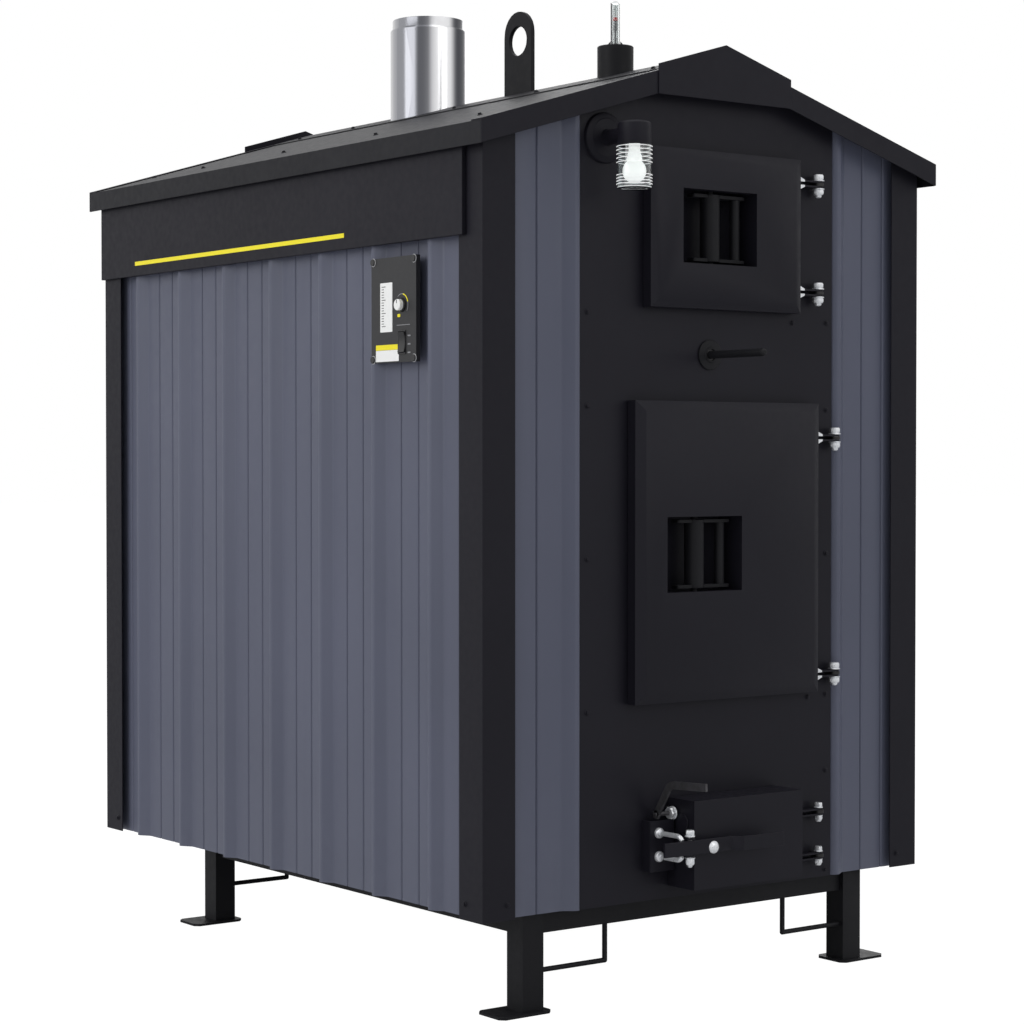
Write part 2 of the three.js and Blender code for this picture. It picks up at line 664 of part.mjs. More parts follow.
function tankJacket() {
  const { halfX, front, rear, top } = jacket;
  const above = [
    rod("z", 0, flue.y, tank.top - 1, chimney.top, chimney.radius + 6, 20),
    block(-60, 60, eye.y - 100, eye.y + 100, tank.top - 1, jacket.top + 1),
    rod("z", 0, vent.y, tank.top - 1, vent.top, vent.radius + 4),
  ];
  const tankRoom = block(
    -tank.halfX - gap,
    tank.halfX + gap,
    tank.front - gap,
    tank.rear + gap,
    tank.bottom - 10,
    tank.top + gap,
  );
  return cut(block(-halfX, halfX, front, rear, tank.bottom, top), tankRoom, above, tankFittings(4), nippleTools(3))
    .intersect(belowRoof(4));
}
piece("insulation", tankJacket(), finishes.foil());

// ---------------------------------------------------------------- firebox, grate and ash pan
function collarTube(throat, inner) {
  return cut(
    throatBlock(throat, collar.wall, collar.end, inner),
    throatBlock(throat, 0, collar.end - 1, inner + 1),
  );
}

function firebox() {
  const { halfX, front, rear, bottom, top, wall } = fire;
  const inside = front + wall;
  const shell = block(-halfX, halfX, front, rear, bottom, top);
  const chamber = block(-halfX + wall, halfX - wall, inside, rear - wall, bottom + wall, top - wall);
  const ashShell = block(ashBox.left, ashBox.right, front, ashBox.rear, ashBox.bottom, bottom + wall);
  const ashChamber = block(ashBox.left + wall, ashBox.right - wall, inside, ashBox.rear - wall, ashBox.bottom + wall, bottom);
  const feet = [-1, 1].flatMap((sx) =>
    [front + 40, rear - 60].map((y) =>
      block(sx * (halfX - 30) - 12, sx * (halfX - 30) + 12, y - 12, y + 12, tank.bottom + tank.wall + gap, bottom + over),
    ),
  );
  const guide = [
    rod("y", bypass.x, bypass.z, panel.face - gap - bypass.flangeThick, inside - 1, bypass.tube),
    rod("y", bypass.x, bypass.z, panel.face - gap - bypass.flangeThick, panel.face - gap, bypass.flange, 24),
  ];
  const ledges = [-1, 1].map((side) => {
    const web = damper.halfX + 2;
    const low = damper.bottom - 0.5 - 6;
    const x = (a) => side * a;
    const span = (a, b) => [Math.min(x(a), x(b)), Math.max(x(a), x(b))];
    return joined(
      block(...span(web, web + 6), damper.front - 10, bypassPort.rear + 30, low, top - wall + over),
      block(...span(damper.halfX - 12, web + 6), damper.front - 10, bypassPort.rear + 30, low, low + 6),
    );
  });
  const hollow = cut(joined(shell, ashShell), chamber, ashChamber);
  const withFittings = joined(
    hollow,
    collarTube(throats.main, inside - 1),
    collarTube(throats.ash, inside - 1),
    feet,
    guide,
    ledges,
    lugs("main"),
    lugs("ash"),
  );
  return cut(
    withFittings,
    throatBlock(throats.main, 0, collar.end - 1, inside + 1),
    throatBlock(throats.ash, 0, collar.end - 1, inside + 1),
    block(grateHole.left, grateHole.right, grateHole.front, grateHole.rear, bottom - 1, bottom + wall + 1),
    block(-firePort.halfX, firePort.halfX, firePort.front, firePort.rear, top - wall - 1, top + 1),
    block(-bypassPort.halfX, bypassPort.halfX, bypassPort.front, bypassPort.rear, top - wall - 1, top + 1),
    rod("y", bypass.x, bypass.z, panel.face - 20, inside + 1, bypass.bore),
  );
}
piece("firebox", firebox(), finishes.steelPlate());

function firegrate() {
  const z0 = fire.bottom + fire.wall + gap;
  const plate = block(
    grateHole.left - grate.rim,
    grateHole.right + grate.rim,
    grateHole.front - grate.rim,
    grateHole.rear + grate.rim,
    z0,
    z0 + grate.sheet,
  );
  const pitch = (grateHole.rear - grateHole.front) / grate.slots;
  const slots = ribCount(grate.slots).map((i) => {
    const y = grateHole.front + pitch * (i + 0.5);
    return block(grateHole.left + 12, grateHole.right - 12, y - grate.slot / 2, y + grate.slot / 2, z0 - 1, z0 + grate.sheet + 1);
  });
  return cut(plate, slots);
}
piece("grate", firegrate(), finishes.castGrate());

const pan = { left: -95, right: 159, front: -780, rear: 240, height: 110, sheet: 2 };
function ashPan() {
  const z0 = ashBox.bottom + fire.wall + gap;
  const tray = cut(
    block(pan.left, pan.right, pan.front, pan.rear, z0, z0 + pan.height),
    block(pan.left + pan.sheet, pan.right - pan.sheet, pan.front + pan.sheet, pan.rear - pan.sheet, z0 + pan.sheet, z0 + pan.height + 1),
  );
  const middle = (pan.left + pan.right) / 2;
  const pull = bentRod(
    [
      [middle - 50, pan.front + 1, z0 + 80],
      [middle - 50, pan.front - 26, z0 + 80],
      [middle + 50, pan.front - 26, z0 + 80],
      [middle + 50, pan.front + 1, z0 + 80],
    ],
    4,
    8,
  );
  return joined(tray, pull);
}
piece("ash_pan", ashPan(), finishes.steelPlate());

// ---------------------------------------------------------------- heat exchanger and chimney
function heatExchanger() {
  const { halfX, front, rear, top, wall, frontPlate, rearPlate } = exchanger;
  const bottom = fire.top + gap;
  const box = (y0, y1) =>
    cut(
      block(-halfX, halfX, y0, y1, bottom, top),
      block(-halfX + wall, halfX - wall, y0 + wall, y1 - wall, bottom + wall, top - wall),
    );
  const half = wall / 2;
  const tubes = smokeTube.xs.flatMap((x) =>
    smokeTube.zs.map((z) => rod("y", x, z, frontPlate - half, rearPlate + half, smokeTube.outer, 14)),
  );
  const bores = smokeTube.xs.flatMap((x) =>
    smokeTube.zs.map((z) => rod("y", x, z, frontPlate - wall, rearPlate + wall, smokeTube.inner, 14)),
  );
  const stub = rod("z", 0, flue.y, top - wall + 1, flue.top, flue.radius, 24);
  const shell = joined(
    box(front, frontPlate + half),
    box(rearPlate - half, rear),
    tubes,
    stub,
    collarTube(throats.upper, front + wall - 1),
    lugs("upper"),
  );
  return cut(
    shell,
    bores,
    rod("z", 0, flue.y, top - wall - 1, flue.top + 1, flue.bore, 24),
    throatBlock(throats.upper, 0, collar.end - 1, front + wall + 1),
    block(-firePort.halfX, firePort.halfX, firePort.front, firePort.rear, bottom - 1, bottom + wall + 1),
    block(-bypassPort.halfX, bypassPort.halfX, bypassPort.front, bypassPort.rear, bottom - 1, bottom + wall + 1),
  );
}
piece("heat_exchanger", heatExchanger(), finishes.steelPlate());

function chimneyPipe() {
  const { radius, bore, shoulder, neck, neckBore, top } = chimney;
  const foot = tank.top + gap;
  return turned(
    [
      [bore, foot],
      [radius, foot],
      [radius, shoulder - 6],
      [radius - 3, shoulder],
      [neck, shoulder + 3],
      [neck, top - 2],
      [neck - 1, top],
      [neckBore, top],
      [neckBore, shoulder + 2],
      [bore, shoulder - 6],
      [bore, foot],
    ],
    0,
    flue.y,
    36,
  );
}
piece("chimney", chimneyPipe(), finishes.stainless());

// ---------------------------------------------------------------- lifting eye, vent and level gauge
function liftingEye() {
  const foot = tank.top + gap;
  const profile = new THREE.Shape();
  profile.moveTo(eye.y - eye.halfWidth, foot);
  profile.lineTo(eye.y + eye.halfWidth, foot);
  profile.lineTo(eye.y + eye.halfWidth, eye.topCentre);
  profile.absarc(eye.y, eye.topCentre, eye.halfWidth, 0, Math.PI, false);
  profile.closePath();
  const plate = prismX(profile, -eye.halfThick, eye.halfThick);
  const bore = rod("x", eye.y, eye.holeZ, -eye.halfThick - 1, eye.halfThick + 1, eye.hole, 24);
  const padding = block(-eye.footHalfX, eye.footHalfX, eye.y - eye.footHalfY, eye.y + eye.footHalfY, foot, foot + eye.foot);
  return joined(cut(plate, bore), padding);
}
piece("lifting_eye", liftingEye(), finishes.frameBlack());

const gaugeFoot = vent.top + vent.cap;
function ventPipe() {
  const foot = tank.top + gap;
  const pipe = cut(
    rod("z", 0, vent.y, foot, vent.top + over, vent.radius, 24),
    rod("z", 0, vent.y, foot - 1, vent.top, vent.bore, 24),
  );
  const cap = rod("z", 0, vent.y, vent.top, gaugeFoot, vent.capRadius, 24);
  const lip = rod("z", 0, vent.y, vent.top - 10, vent.top + over, vent.capRadius, 24);
  const clips = [-1, 1].map((side) =>
    block(side * (vent.capRadius - 12) - 5, side * (vent.capRadius - 12) + 5, vent.y - 7, vent.y + 7, gaugeFoot - over, gaugeFoot + 7),
  );
  return cut(
    joined(pipe, cap, cut(lip, rod("z", 0, vent.y, vent.top - 11, vent.top, vent.bore, 24)), clips),
    rod("z", 0, vent.y, vent.top - 1, gaugeFoot + 1, gauge.bore),
    rod("z", 0, vent.y - 28, vent.top - 1, gaugeFoot + 1, 4, 12),
  );
}
piece("vent_pipe", ventPipe(), finishes.blackPaint());

const gaugeTube = turned(
  [
    [gauge.bore, gaugeFoot + gap],
    [gauge.radius, gaugeFoot + gap],
    [gauge.radius, gauge.top - 2],
    [gauge.radius - 2, gauge.top],
    [0, gauge.top],
    [0, gauge.top - 3],
    [gauge.bore, gauge.top - 3],
    [gauge.bore, gaugeFoot + gap],
  ],
  0,
  vent.y,
  14,
);
piece("gauge_tube", gaugeTube, finishes.clearGlass());

const floatRod = turned(
  [
    [0, float.bottom],
    [float.radius - 8, float.bottom],
    [float.radius, float.bottom + 8],
    [float.radius, float.top - 8],
    [float.radius - 8, float.top],
    [float.rod, float.top],
    [float.rod, float.markerLow - 4],
    [float.marker, float.markerLow],
    [float.marker, float.markerHigh - 10],
    [0, float.markerHigh - 8],
  ],
  0,
  vent.y,
  14,
);
piece("float_rod", floatRod, finishes.redMarker());

// ---------------------------------------------------------------- doors
// Door-side hinge leaves above and below one fixed lug.
function leaves({ right, hingeX, lugZ }) {
  const shape = new THREE.Shape();
  shape.moveTo(right - over, leaf.front);
  shape.lineTo(hingeX, hingeY - leaf.tip);
  shape.absarc(hingeX, hingeY, leaf.tip, -Math.PI / 2, Math.PI / 2, false);
  shape.lineTo(right - over, leaf.back);
  shape.closePath();
  return lugZ.flatMap((z) =>
    [-1, 1].map((side) => {
      const near = z + side * (lug.thick / 2 + leaf.space);
      const far = near + side * leaf.thick;
      return cut(
        prismZ(shape, Math.min(near, far), Math.max(near, far)),
        rod("z", hingeX, hingeY, Math.min(near, far) - 1, Math.max(near, far) + 1, pin.bore),
      );
    }),
  );
}

// Hollow door: skin and skirt, a seat plate for the gasket and a plug that fills the throat.
// Box of a door's outline, drawn in by an inset, its front edges sloped back on the two large doors.
function doorPan(d, inset, back) {
  const front = d.face + inset;
  const [x0, x1, z0, z1] = [d.left + inset, d.right - inset, d.bottom + inset, d.top - inset];
  if (!d.sloped) return block(x0, x1, front, back, z0, z1);
  const w = door.slopeWidth;
  const face = block(x0 + w, x1 - w, front, back, z0 + w, z1 - w);
  return wasm.Manifold.hull([face, block(x0, x1, front + door.slopeDepth, back, z0, z1)]);
}

function doorShell(name) {
  const d = doors[name];
  const throat = throats[name];
  const s = door.skin;
  const inset = -door.plugInset;
  const shell = joined(
    cut(doorPan(d, 0, door.skirt), doorPan(d, s, door.skirt + 1)),
    block(d.left + s - over, d.right - s + over, door.seatFront, door.seatBack, d.bottom + s - over, d.top - s + over),
    throatBlock(throat, inset, door.seatFront, d.plugBack),
    leaves(d),
  );
  return cut(shell, throatBlock(throat, inset - s, door.seatFront - 1, d.plugBack - s));
}

function recessPocket(d) {
  const back = d.face + recess.depth;
  const grown = (m, y0, y1) =>
    block(d.recessLeft - m, d.recessRight + m, y0, y1, d.recessBottom - m, d.recessTop + m);
  return { outer: grown(recess.wall, d.face, back + recess.wall), room: grown(0, d.face - 1, back) };
}

function handleAxis(d) {
  return { x: d.recessLeft + handle.axis, y: d.face + handle.depth };
}

function handledDoor(name) {
  const d = doors[name];
  const { outer, room } = recessPocket(d);
  const axis = handleAxis(d);
  const bearing = rod(
    "z",
    axis.x,
    axis.y,
    d.recessBottom - handle.stubReach - 2,
    d.recessTop + handle.stubReach + 2,
    handle.stub + gap,
  );
  const bosses = [d.recessBottom - handle.stubReach, d.recessTop].map((z) =>
    rod("z", axis.x, axis.y, z, z + handle.stubReach, handle.stub + 6),
  );
  return cut(joined(doorShell(name), outer, bosses), room, bearing);
}

function doorHandle(name) {
  const d = doors[name];
  const { x, y } = handleAxis(d);
  const low = d.recessBottom + handle.plateInset;
  const high = d.recessTop - handle.plateInset;
  const plates = [low, high - handle.plate].map((z) =>
    block(x - handle.plateBack, x + handle.plateFront, y - handle.halfDepth, y + handle.halfDepth, z, z + handle.plate),
  );
  const grip = (handle.gripFrom + handle.gripTo) / 2;
  return joined(
    plates,
    rod("z", x, y, low, high, handle.tube, 20),
    rod("z", x + grip, y, low, high, (handle.gripTo - handle.gripFrom) / 2, 12),
    rod("z", x, y, d.recessBottom - handle.stubReach, d.recessTop + handle.stubReach, handle.stub, 10),
  );
}

function gasketRing(name) {
  const half = gasket.width / 2;
  const middle = collar.wall / 2;
  return cut(
    throatBlock(throats[name], middle + half, gasket.front, gasket.back),
    throatBlock(throats[name], middle - half, gasket.front - 1, gasket.back + 1),
  );
}

// Hinge pin with a washer and hex head above the leaves, a nut and a stub below.
function hingeBolt(d, z, size) {
  const reach = lug.thick / 2 + leaf.space + leaf.thick + gap;
  const top = z + reach;
  const bottom = z - reach;
  const x = d.hingeX;
  return joined(
    rod("z", x, hingeY, bottom - size.nutTall - size.collarTall - size.stub, top + over, pin.radius, 12),
    rod("z", x, hingeY, top, top + size.collarTall, size.collar, 12),
    rod("z", x, hingeY, top + size.collarTall - 0.5, top + size.collarTall + size.headTall, hexAcross(size.head * 0.87), 6),
    rod("z", x, hingeY, bottom - size.collarTall, bottom, size.collar, 12),
    rod("z", x, hingeY, bottom - size.collarTall - size.nutTall, bottom - size.collarTall + 0.5, hexAcross(size.nut * 0.87), 6),
  );
}

for (const name of ["upper", "main"]) {
  const d = doors[name];
  piece(name + "_door", handledDoor(name), finishes.blackPaint());
  piece(name + "_door_gasket", gasketRing(name), finishes.rope());
  piece(name + "_door_handle", doorHandle(name), finishes.frameBlack());
  piece(name + "_hinge_bolt_top", hingeBolt(d, d.lugZ[0], largeBolt), finishes.zinc());
  piece(name + "_hinge_bolt_bottom", hingeBolt(d, d.lugZ[1], largeBolt), finishes.zinc());
}

// ---------------------------------------------------------------- ash door, its latch and air lever
const latchLeaf = [latch.bottom - clevis.space - clevis.thick, latch.top + clevis.space];

function ashDoor() {
  const d = doors.ash;
  const shape = new THREE.Shape();
  shape.moveTo(d.left + over, clevis.rootBack);
  shape.lineTo(latch.x - clevis.tip, latch.y + 4);
  shape.absarc(latch.x, latch.y, clevis.tip, Math.PI, 2 * Math.PI, false);
  shape.lineTo(d.left + over, clevis.rootFront);
  shape.closePath();
  const clevisPlates = latchLeaf.map((z) =>
    cut(
      prismZ(shape, z, z + clevis.thick),
      rod("z", latch.x, latch.y, z - 1, z + clevis.thick + 1, latch.bore),
    ),
  );
  return cut(
    joined(doorShell("ash"), clevisPlates),
    rod("x", draft.y, draft.z, d.left - 1, d.left + door.skin + 1, draft.shaftBore),
    rod("x", draft.holeY, draft.holeZ, d.left - 1, d.left + door.skin + 1, draft.hole),
    block(airSlot.left, airSlot.right, airSlot.front, airSlot.back, airSlot.bottom, airSlot.top),
  );
}
piece("ash_door", ashDoor(), finishes.blackPaint());
piece("ash_door_gasket", gasketRing("ash"), finishes.rope());

function ashLatch() {
  const bar = prismZ(
    [
      [latch.left, latch.barFront],
      [latch.bendFrom, latch.barFront],
      [latch.bendTo, latch.gripFront],
      [latch.gripEnd, latch.gripFront],
      [latch.gripEnd, latch.gripBack],
      [latch.bendTo, latch.gripBack],
      [latch.bendFrom, latch.barBack],
      [latch.left, latch.barBack],
    ],
    latch.bottom,
    latch.top,
  );
  const hub = rod("z", latch.x, latch.y, latch.bottom, latch.top, latch.hub, 16);
  return cut(
    joined(bar, hub),
    rod("z", latch.x, latch.y, latch.bottom - 1, latch.top + 1, latch.bore, 16),
  );
}
piece("ash_latch", ashLatch(), finishes.blackPaint());

function latchBolt() {
  const top = latchLeaf[1] + clevis.thick + gap;
  const bottom = latchLeaf[0] - gap;
  const head = 10;
  return joined(
    rod("z", latch.x, latch.y, bottom - 24, top + over, latch.bolt, 12),
    rod("z", latch.x, latch.y, top, top + 3, head + 2, 12),
    rod("z", latch.x, latch.y, top + 2.5, top + 15, hexAcross(head - 1), 6),
    rod("z", latch.x, latch.y, bottom - 3, bottom, head + 2, 12),
    rod("z", latch.x, latch.y, bottom - 17, bottom - 2.5, hexAcross(head - 1), 6),
  );
}
piece("ash_latch_bolt", latchBolt(), finishes.zinc());
piece("ash_hinge_bolt_top", hingeBolt(doors.ash, doors.ash.lugZ[0], smallBolt), finishes.zinc());
piece("ash_hinge_bolt_bottom", hingeBolt(doors.ash, doors.ash.lugZ[1], smallBolt), finishes.zinc());

// Flat strip between two points of the y-z plane, with a chosen half width.
function stripPoints([y0, z0], [y1, z1], half) {
  const length = Math.hypot(y1 - y0, z1 - z0);
  const ny = (-(z1 - z0) / length) * half;
  const nz = ((y1 - y0) / length) * half;
  return [
    [y0 + ny, z0 + nz],
    [y0 - ny, z0 - nz],
    [y1 - ny, z1 - nz],
    [y1 + ny, z1 + nz],
  ];
}

function draftLever() {
  const { left } = doors.ash;
  const barRight = draft.barX + draft.bar;
  const x0 = draft.barX;
  const inside = left + door.skin + gap;
  const elbow = [draft.elbowY, draft.elbowZ];
  return joined(
    rod("x", draft.y, draft.z, x0, draft.inner, draft.shaft, 16),
    rod("x", draft.y, draft.z, x0, barRight, draft.ring, 20),
    prismX(stripPoints([draft.y, draft.z], elbow, draft.half), x0, barRight),
    rod("x", ...elbow, x0, barRight, draft.half, 16),
    prismX(stripPoints(elbow, [draft.tipY, draft.tipZ], draft.half), x0, barRight),
    rod("x", draft.y, draft.z, draft.nutX - draft.nutThick / 2, draft.nutX + draft.nutThick / 2, hexAcross(draft.nut * 0.87), 6),
    rod("x", draft.holeY, draft.holeZ, inside, inside + draft.flapThick, draft.flap, 20),
    prismX(stripPoints([draft.y, draft.z], [draft.holeY, draft.holeZ], 9), inside, inside + draft.flapThick),
  );
}
piece("draft_lever", draftLever(), finishes.frameBlack());

function ashKeeper() {
  const back = keeper.face + keeper.sheet;
  const plate = block(keeper.left, keeper.right, keeper.face, back, keeper.bottom, keeper.top);
  const flange = block(keeper.left, keeper.left + keeper.sheet, back - over, panel.face - gap, keeper.bottom, keeper.top);
  const middle = (prong.zs[0] + prong.zs[1]) / 2;
  const prongs = prong.zs.map((z) => {
    const tip = z - Math.sign(z - middle) * prong.bend;
    return joined(
      bentRod(
        [
          [prong.x, back - over, z],
          [prong.x, prong.end + prong.bendLength, z],
          [prong.x, prong.end, tip],
        ],
        prong.radius,
        12,
      ),
      rod("y", prong.x, z, keeper.face - prong.nutThick, keeper.face + over, hexAcross(prong.nut * 0.9), 6),
    );
  });
  return joined(plate, flange, prongs);
}
piece("ash_keeper", ashKeeper(), finishes.blackPaint());

function bypassRod() {
  const plate = block(-damper.halfX, damper.halfX, damper.front, damper.rear, damper.bottom, damper.top);
  const linkY = damper.front + 30;
  const link = block(bypass.x - 8, bypass.x + 8, linkY - 10, linkY + 10, bypass.z - 4, damper.bottom + over);
  return joined(plate, link, rod("y", bypass.x, bypass.z, bypass.end, linkY, bypass.rod, 20));
}
piece("bypass_rod", bypassRod(), finishes.frameBlack());

// ---------------------------------------------------------------- lamp
function lampBase() {
  const wall = panel.face - gap;
  return cut(
    joined(
      rod("y", lamp.x, lamp.z, wall - lamp.plateThick, wall, lamp.plate, 28),
      rod("y", lamp.x, lamp.z, lamp.y, wall - lamp.plateThick + over, lamp.arm, 16),
      rod("z", lamp.x, lamp.y, lamp.headBottom, lamp.headTop, lamp.head, 24),
    ),
    rod("z", lamp.x, lamp.y, lamp.headBottom - 1, lamp.headBottom + 14, lamp.neck + 2, 16),
  );
}
piece("lamp_base", lampBase(), finishes.blackPaint());

const jarTop = lamp.headBottom - gap;
const lampGlass = turned(
  [
    [0, lamp.jarBottom],
    [lamp.jar - 12, lamp.jarBottom],
    [lamp.jar, lamp.jarBottom + 12],
    [lamp.jar, jarTop],
    [lamp.jar - lamp.jarWall, jarTop],
    [lamp.jar - lamp.jarWall, lamp.jarBottom + 13],
    [lamp.jar - 13, lamp.jarBottom + lamp.jarWall],
    [0, lamp.jarBottom + lamp.jarWall],
  ],
  lamp.x,
  lamp.y,
  24,
);
piece("lamp_glass", lampGlass, finishes.clearGlass());

const bulbAngles = ribCount(9).map((i) => -Math.PI / 2 + (i / 8) * (Math.PI * 0.83));
const bulbProfile = bulbAngles.map((a, i) => [i ? lamp.bulb * Math.cos(a) : 0, lamp.bulbZ + lamp.bulb * Math.sin(a)]);
const lampBulb = turned(
  [...bulbProfile, [lamp.neck - 1, lamp.headBottom - 16], [lamp.neck - 1, lamp.headBottom + 13], [0, lamp.headBottom + 13]],
  lamp.x,
  lamp.y,
  16,
);
piece("lamp_bulb", lampBulb, finishes.frostedGlass());

// ---------------------------------------------------------------- control plate
const controlBack = -(xWall - trim.sheet - gap) - gap;
const controlFace = controlBack - control.proud;
function controlPlate() {
  const s = control.sheet;
  return cut(
    block(controlFace, controlBack, control.front, control.rear, control.bottom, control.top),
    block(controlFace + s, controlBack + 1, control.front + s, control.rear - s, control.bottom + s, control.top - s),
    rod("x", dial.y, dial.z, controlFace - 1, controlFace + s + 1, dial.bore, 16),
    block(
      controlFace - 1,
      controlFace + s + 1,
      rocker.y - rocker.halfY - rocker.clear,
      rocker.y + rocker.halfY + rocker.clear,
      rocker.z - rocker.halfZ - rocker.clear,
      rocker.z + rocker.halfZ + rocker.clear,
    ),
  );
}
piece("control_plate", controlPlate(), finishes.blackPlastic());

const knobBack = controlFace - gap;
const dialKnob = joined(
  rod("x", dial.y, dial.z, knobBack - 5, knobBack, dial.base, 20),
  rod("x", dial.y, dial.z, knobBack - dial.proud, knobBack - 5 + over, dial.grip, 20),
  rod("x", dial.y, dial.z, knobBack - over, controlFace + 7, dial.spindle, 14),
);
piece("dial_knob", dialKnob, finishes.whitePlastic());

const rockerProfile = [
  [controlFace - rocker.proud, rocker.z + rocker.halfZ - 1],
  [controlFace - rocker.proud + 3, rocker.z],
  [controlFace - rocker.proud, rocker.z - rocker.halfZ + 1],
  [controlFace, rocker.z - rocker.halfZ + 1],
  [controlFace + rocker.inside, rocker.z - 8],
  [controlFace + rocker.inside, rocker.z + 8],
  [controlFace, rocker.z + rocker.halfZ - 1],
];
piece(
  "rocker_switch",
  prismY(rockerProfile, rocker.y - rocker.halfY, rocker.y + rocker.halfY),
  finishes.blackPlastic(),
);

// ---------------------------------------------------------------- origin under the middle of the whole object
const frontReach = draft.tipY;
const rearReach = yWall + nipple.reach;
group.position.y = -(frontReach + rearReach) / 2;

export default group;
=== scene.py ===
import json
import bmesh
import bpy
import numpy as np
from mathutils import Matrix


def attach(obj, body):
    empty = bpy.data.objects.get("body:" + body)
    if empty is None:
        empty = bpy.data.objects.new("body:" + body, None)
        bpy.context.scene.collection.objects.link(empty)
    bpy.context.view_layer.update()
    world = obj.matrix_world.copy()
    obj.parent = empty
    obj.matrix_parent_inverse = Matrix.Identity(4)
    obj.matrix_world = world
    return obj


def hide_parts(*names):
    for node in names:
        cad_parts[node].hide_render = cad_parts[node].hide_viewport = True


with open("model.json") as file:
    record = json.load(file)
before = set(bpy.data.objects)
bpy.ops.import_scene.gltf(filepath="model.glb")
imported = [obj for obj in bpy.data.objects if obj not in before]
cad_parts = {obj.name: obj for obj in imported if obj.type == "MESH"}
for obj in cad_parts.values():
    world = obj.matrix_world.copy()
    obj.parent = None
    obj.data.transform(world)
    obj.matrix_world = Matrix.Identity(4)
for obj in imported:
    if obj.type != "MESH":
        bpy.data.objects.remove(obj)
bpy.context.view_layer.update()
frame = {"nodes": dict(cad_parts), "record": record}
nodes = frame["nodes"]
print("frame loaded")

# Lengths are millimetres about the middle of the house; the origin of the part lies further forward.
house = {"shiftY": 58.425, "xWall": 666.75, "yWall": 878.15, "bottom": 227.7, "eaveTop": 1965.0,
         "rise": 0.3, "xEave": 695.45, "panelFace": -870.2}
boiler = bpy.data.collections.new("boiler")
bpy.context.scene.collection.children.link(boiler)


def roofTop(x):
    # height of the roof's upper face, falling by the rise away from the ridge
    return house["eaveTop"] + (house["xEave"] - np.abs(x)) * house["rise"]


# Meshes worked out as arrays.
def gridFaces(rows, columns, wrapRows=False, wrapColumns=False):
    # quads between neighbouring grid points; a wrapped side joins its last line to its first
    r = np.arange(rows if wrapRows else rows - 1)[:, None]
    c = np.arange(columns if wrapColumns else columns - 1)[None, :]
    r1, c1 = (r + 1) % rows, (c + 1) % columns
    corners = [r * columns + c, r * columns + c1, r1 * columns + c1, r1 * columns + c]
    return np.stack([np.broadcast_to(k, (r.shape[0], c.shape[1])) for k in corners], -1).reshape(-1, 4).tolist()


def joinParts(parts):
    # stacks several point and face lists into one
    starts = np.cumsum([0] + [len(p) for p, _ in parts[:-1]])
    faces = [[int(i + s) for i in f] for (_, fs), s in zip(parts, starts) for f in fs]
    return np.concatenate([p for p, _ in parts]), faces


def spun(shape, degrees, y):
    # turned by a about the upright axis, x cos a - y sin a and x sin a + y cos a, then moved back by y
    a = np.radians(degrees)
    spin = np.array([[np.cos(a), -np.sin(a), 0], [np.sin(a), np.cos(a), 0], [0, 0, 1]])
    return shape[0] @ spin.T + (0, y, 0), shape[1]


def turned(profile, axis, centre, sides=64, wrap=True):
    # each profile point (radius, place along the axis) goes round the axis on a circle
    profile = np.asarray(profile, float)
    angle = np.linspace(0, 2 * np.pi, sides, endpoint=False)[:, None]
    a, b = profile[None, :, 0] * np.cos(angle), profile[None, :, 0] * np.sin(angle)
    s = np.broadcast_to(profile[None, :, 1], a.shape)
    x, y, z = {"x": (s, a, b), "y": (b, s, a), "z": (a, b, s)}[axis]
    points = np.stack([x, y, z], -1).reshape(-1, 3) + np.asarray(centre, float)
    return points, gridFaces(sides, len(profile), True, wrap)


def hexed(profile, flat, axis, centre, sides=48):
    # as turned, but no point reaches past the flats of a hexagon: radius is the less of the two
    points, faces = turned(profile, axis, (0, 0, 0), sides, True)
    i = {"x": (1, 2), "y": (2, 0), "z": (0, 1)}[axis]
    a, b = points[:, i[0]], points[:, i[1]]
    angle = np.arctan2(b, a) % (np.pi / 3) - np.pi / 6
    radius = np.hypot(a, b)
    keep = np.minimum(radius, flat / np.cos(angle)) / np.maximum(radius, 1e-9)
    points[:, i[0]], points[:, i[1]] = a * keep, b * keep
    return points + np.asarray(centre, float), faces


def roundCorners(line, bend, steps=4, closed=False, share=0.45):
    # each inner corner becomes a quadratic curve between points a bend's length before and after it
    line = np.asarray(line, float)
    before, after = np.roll(line, 1, 0) - line, np.roll(line, -1, 0) - line

    def cut(v):
        length = np.linalg.norm(v, axis=1, keepdims=True)
        return v / np.maximum(length, 1e-9) * np.minimum(bend, share * length)

    t = np.linspace(0, 1, steps + 1)[None, :, None]
    start, end = (line + cut(before))[:, None], (line + cut(after))[:, None]
    curve = (1 - t) ** 2 * start + 2 * t * (1 - t) * line[:, None] + t ** 2 * end
    if closed:
        return curve.reshape(-1, line.shape[1])
    return np.concatenate([line[:1], curve[1:-1].reshape(-1, line.shape[1]), line[-1:]])


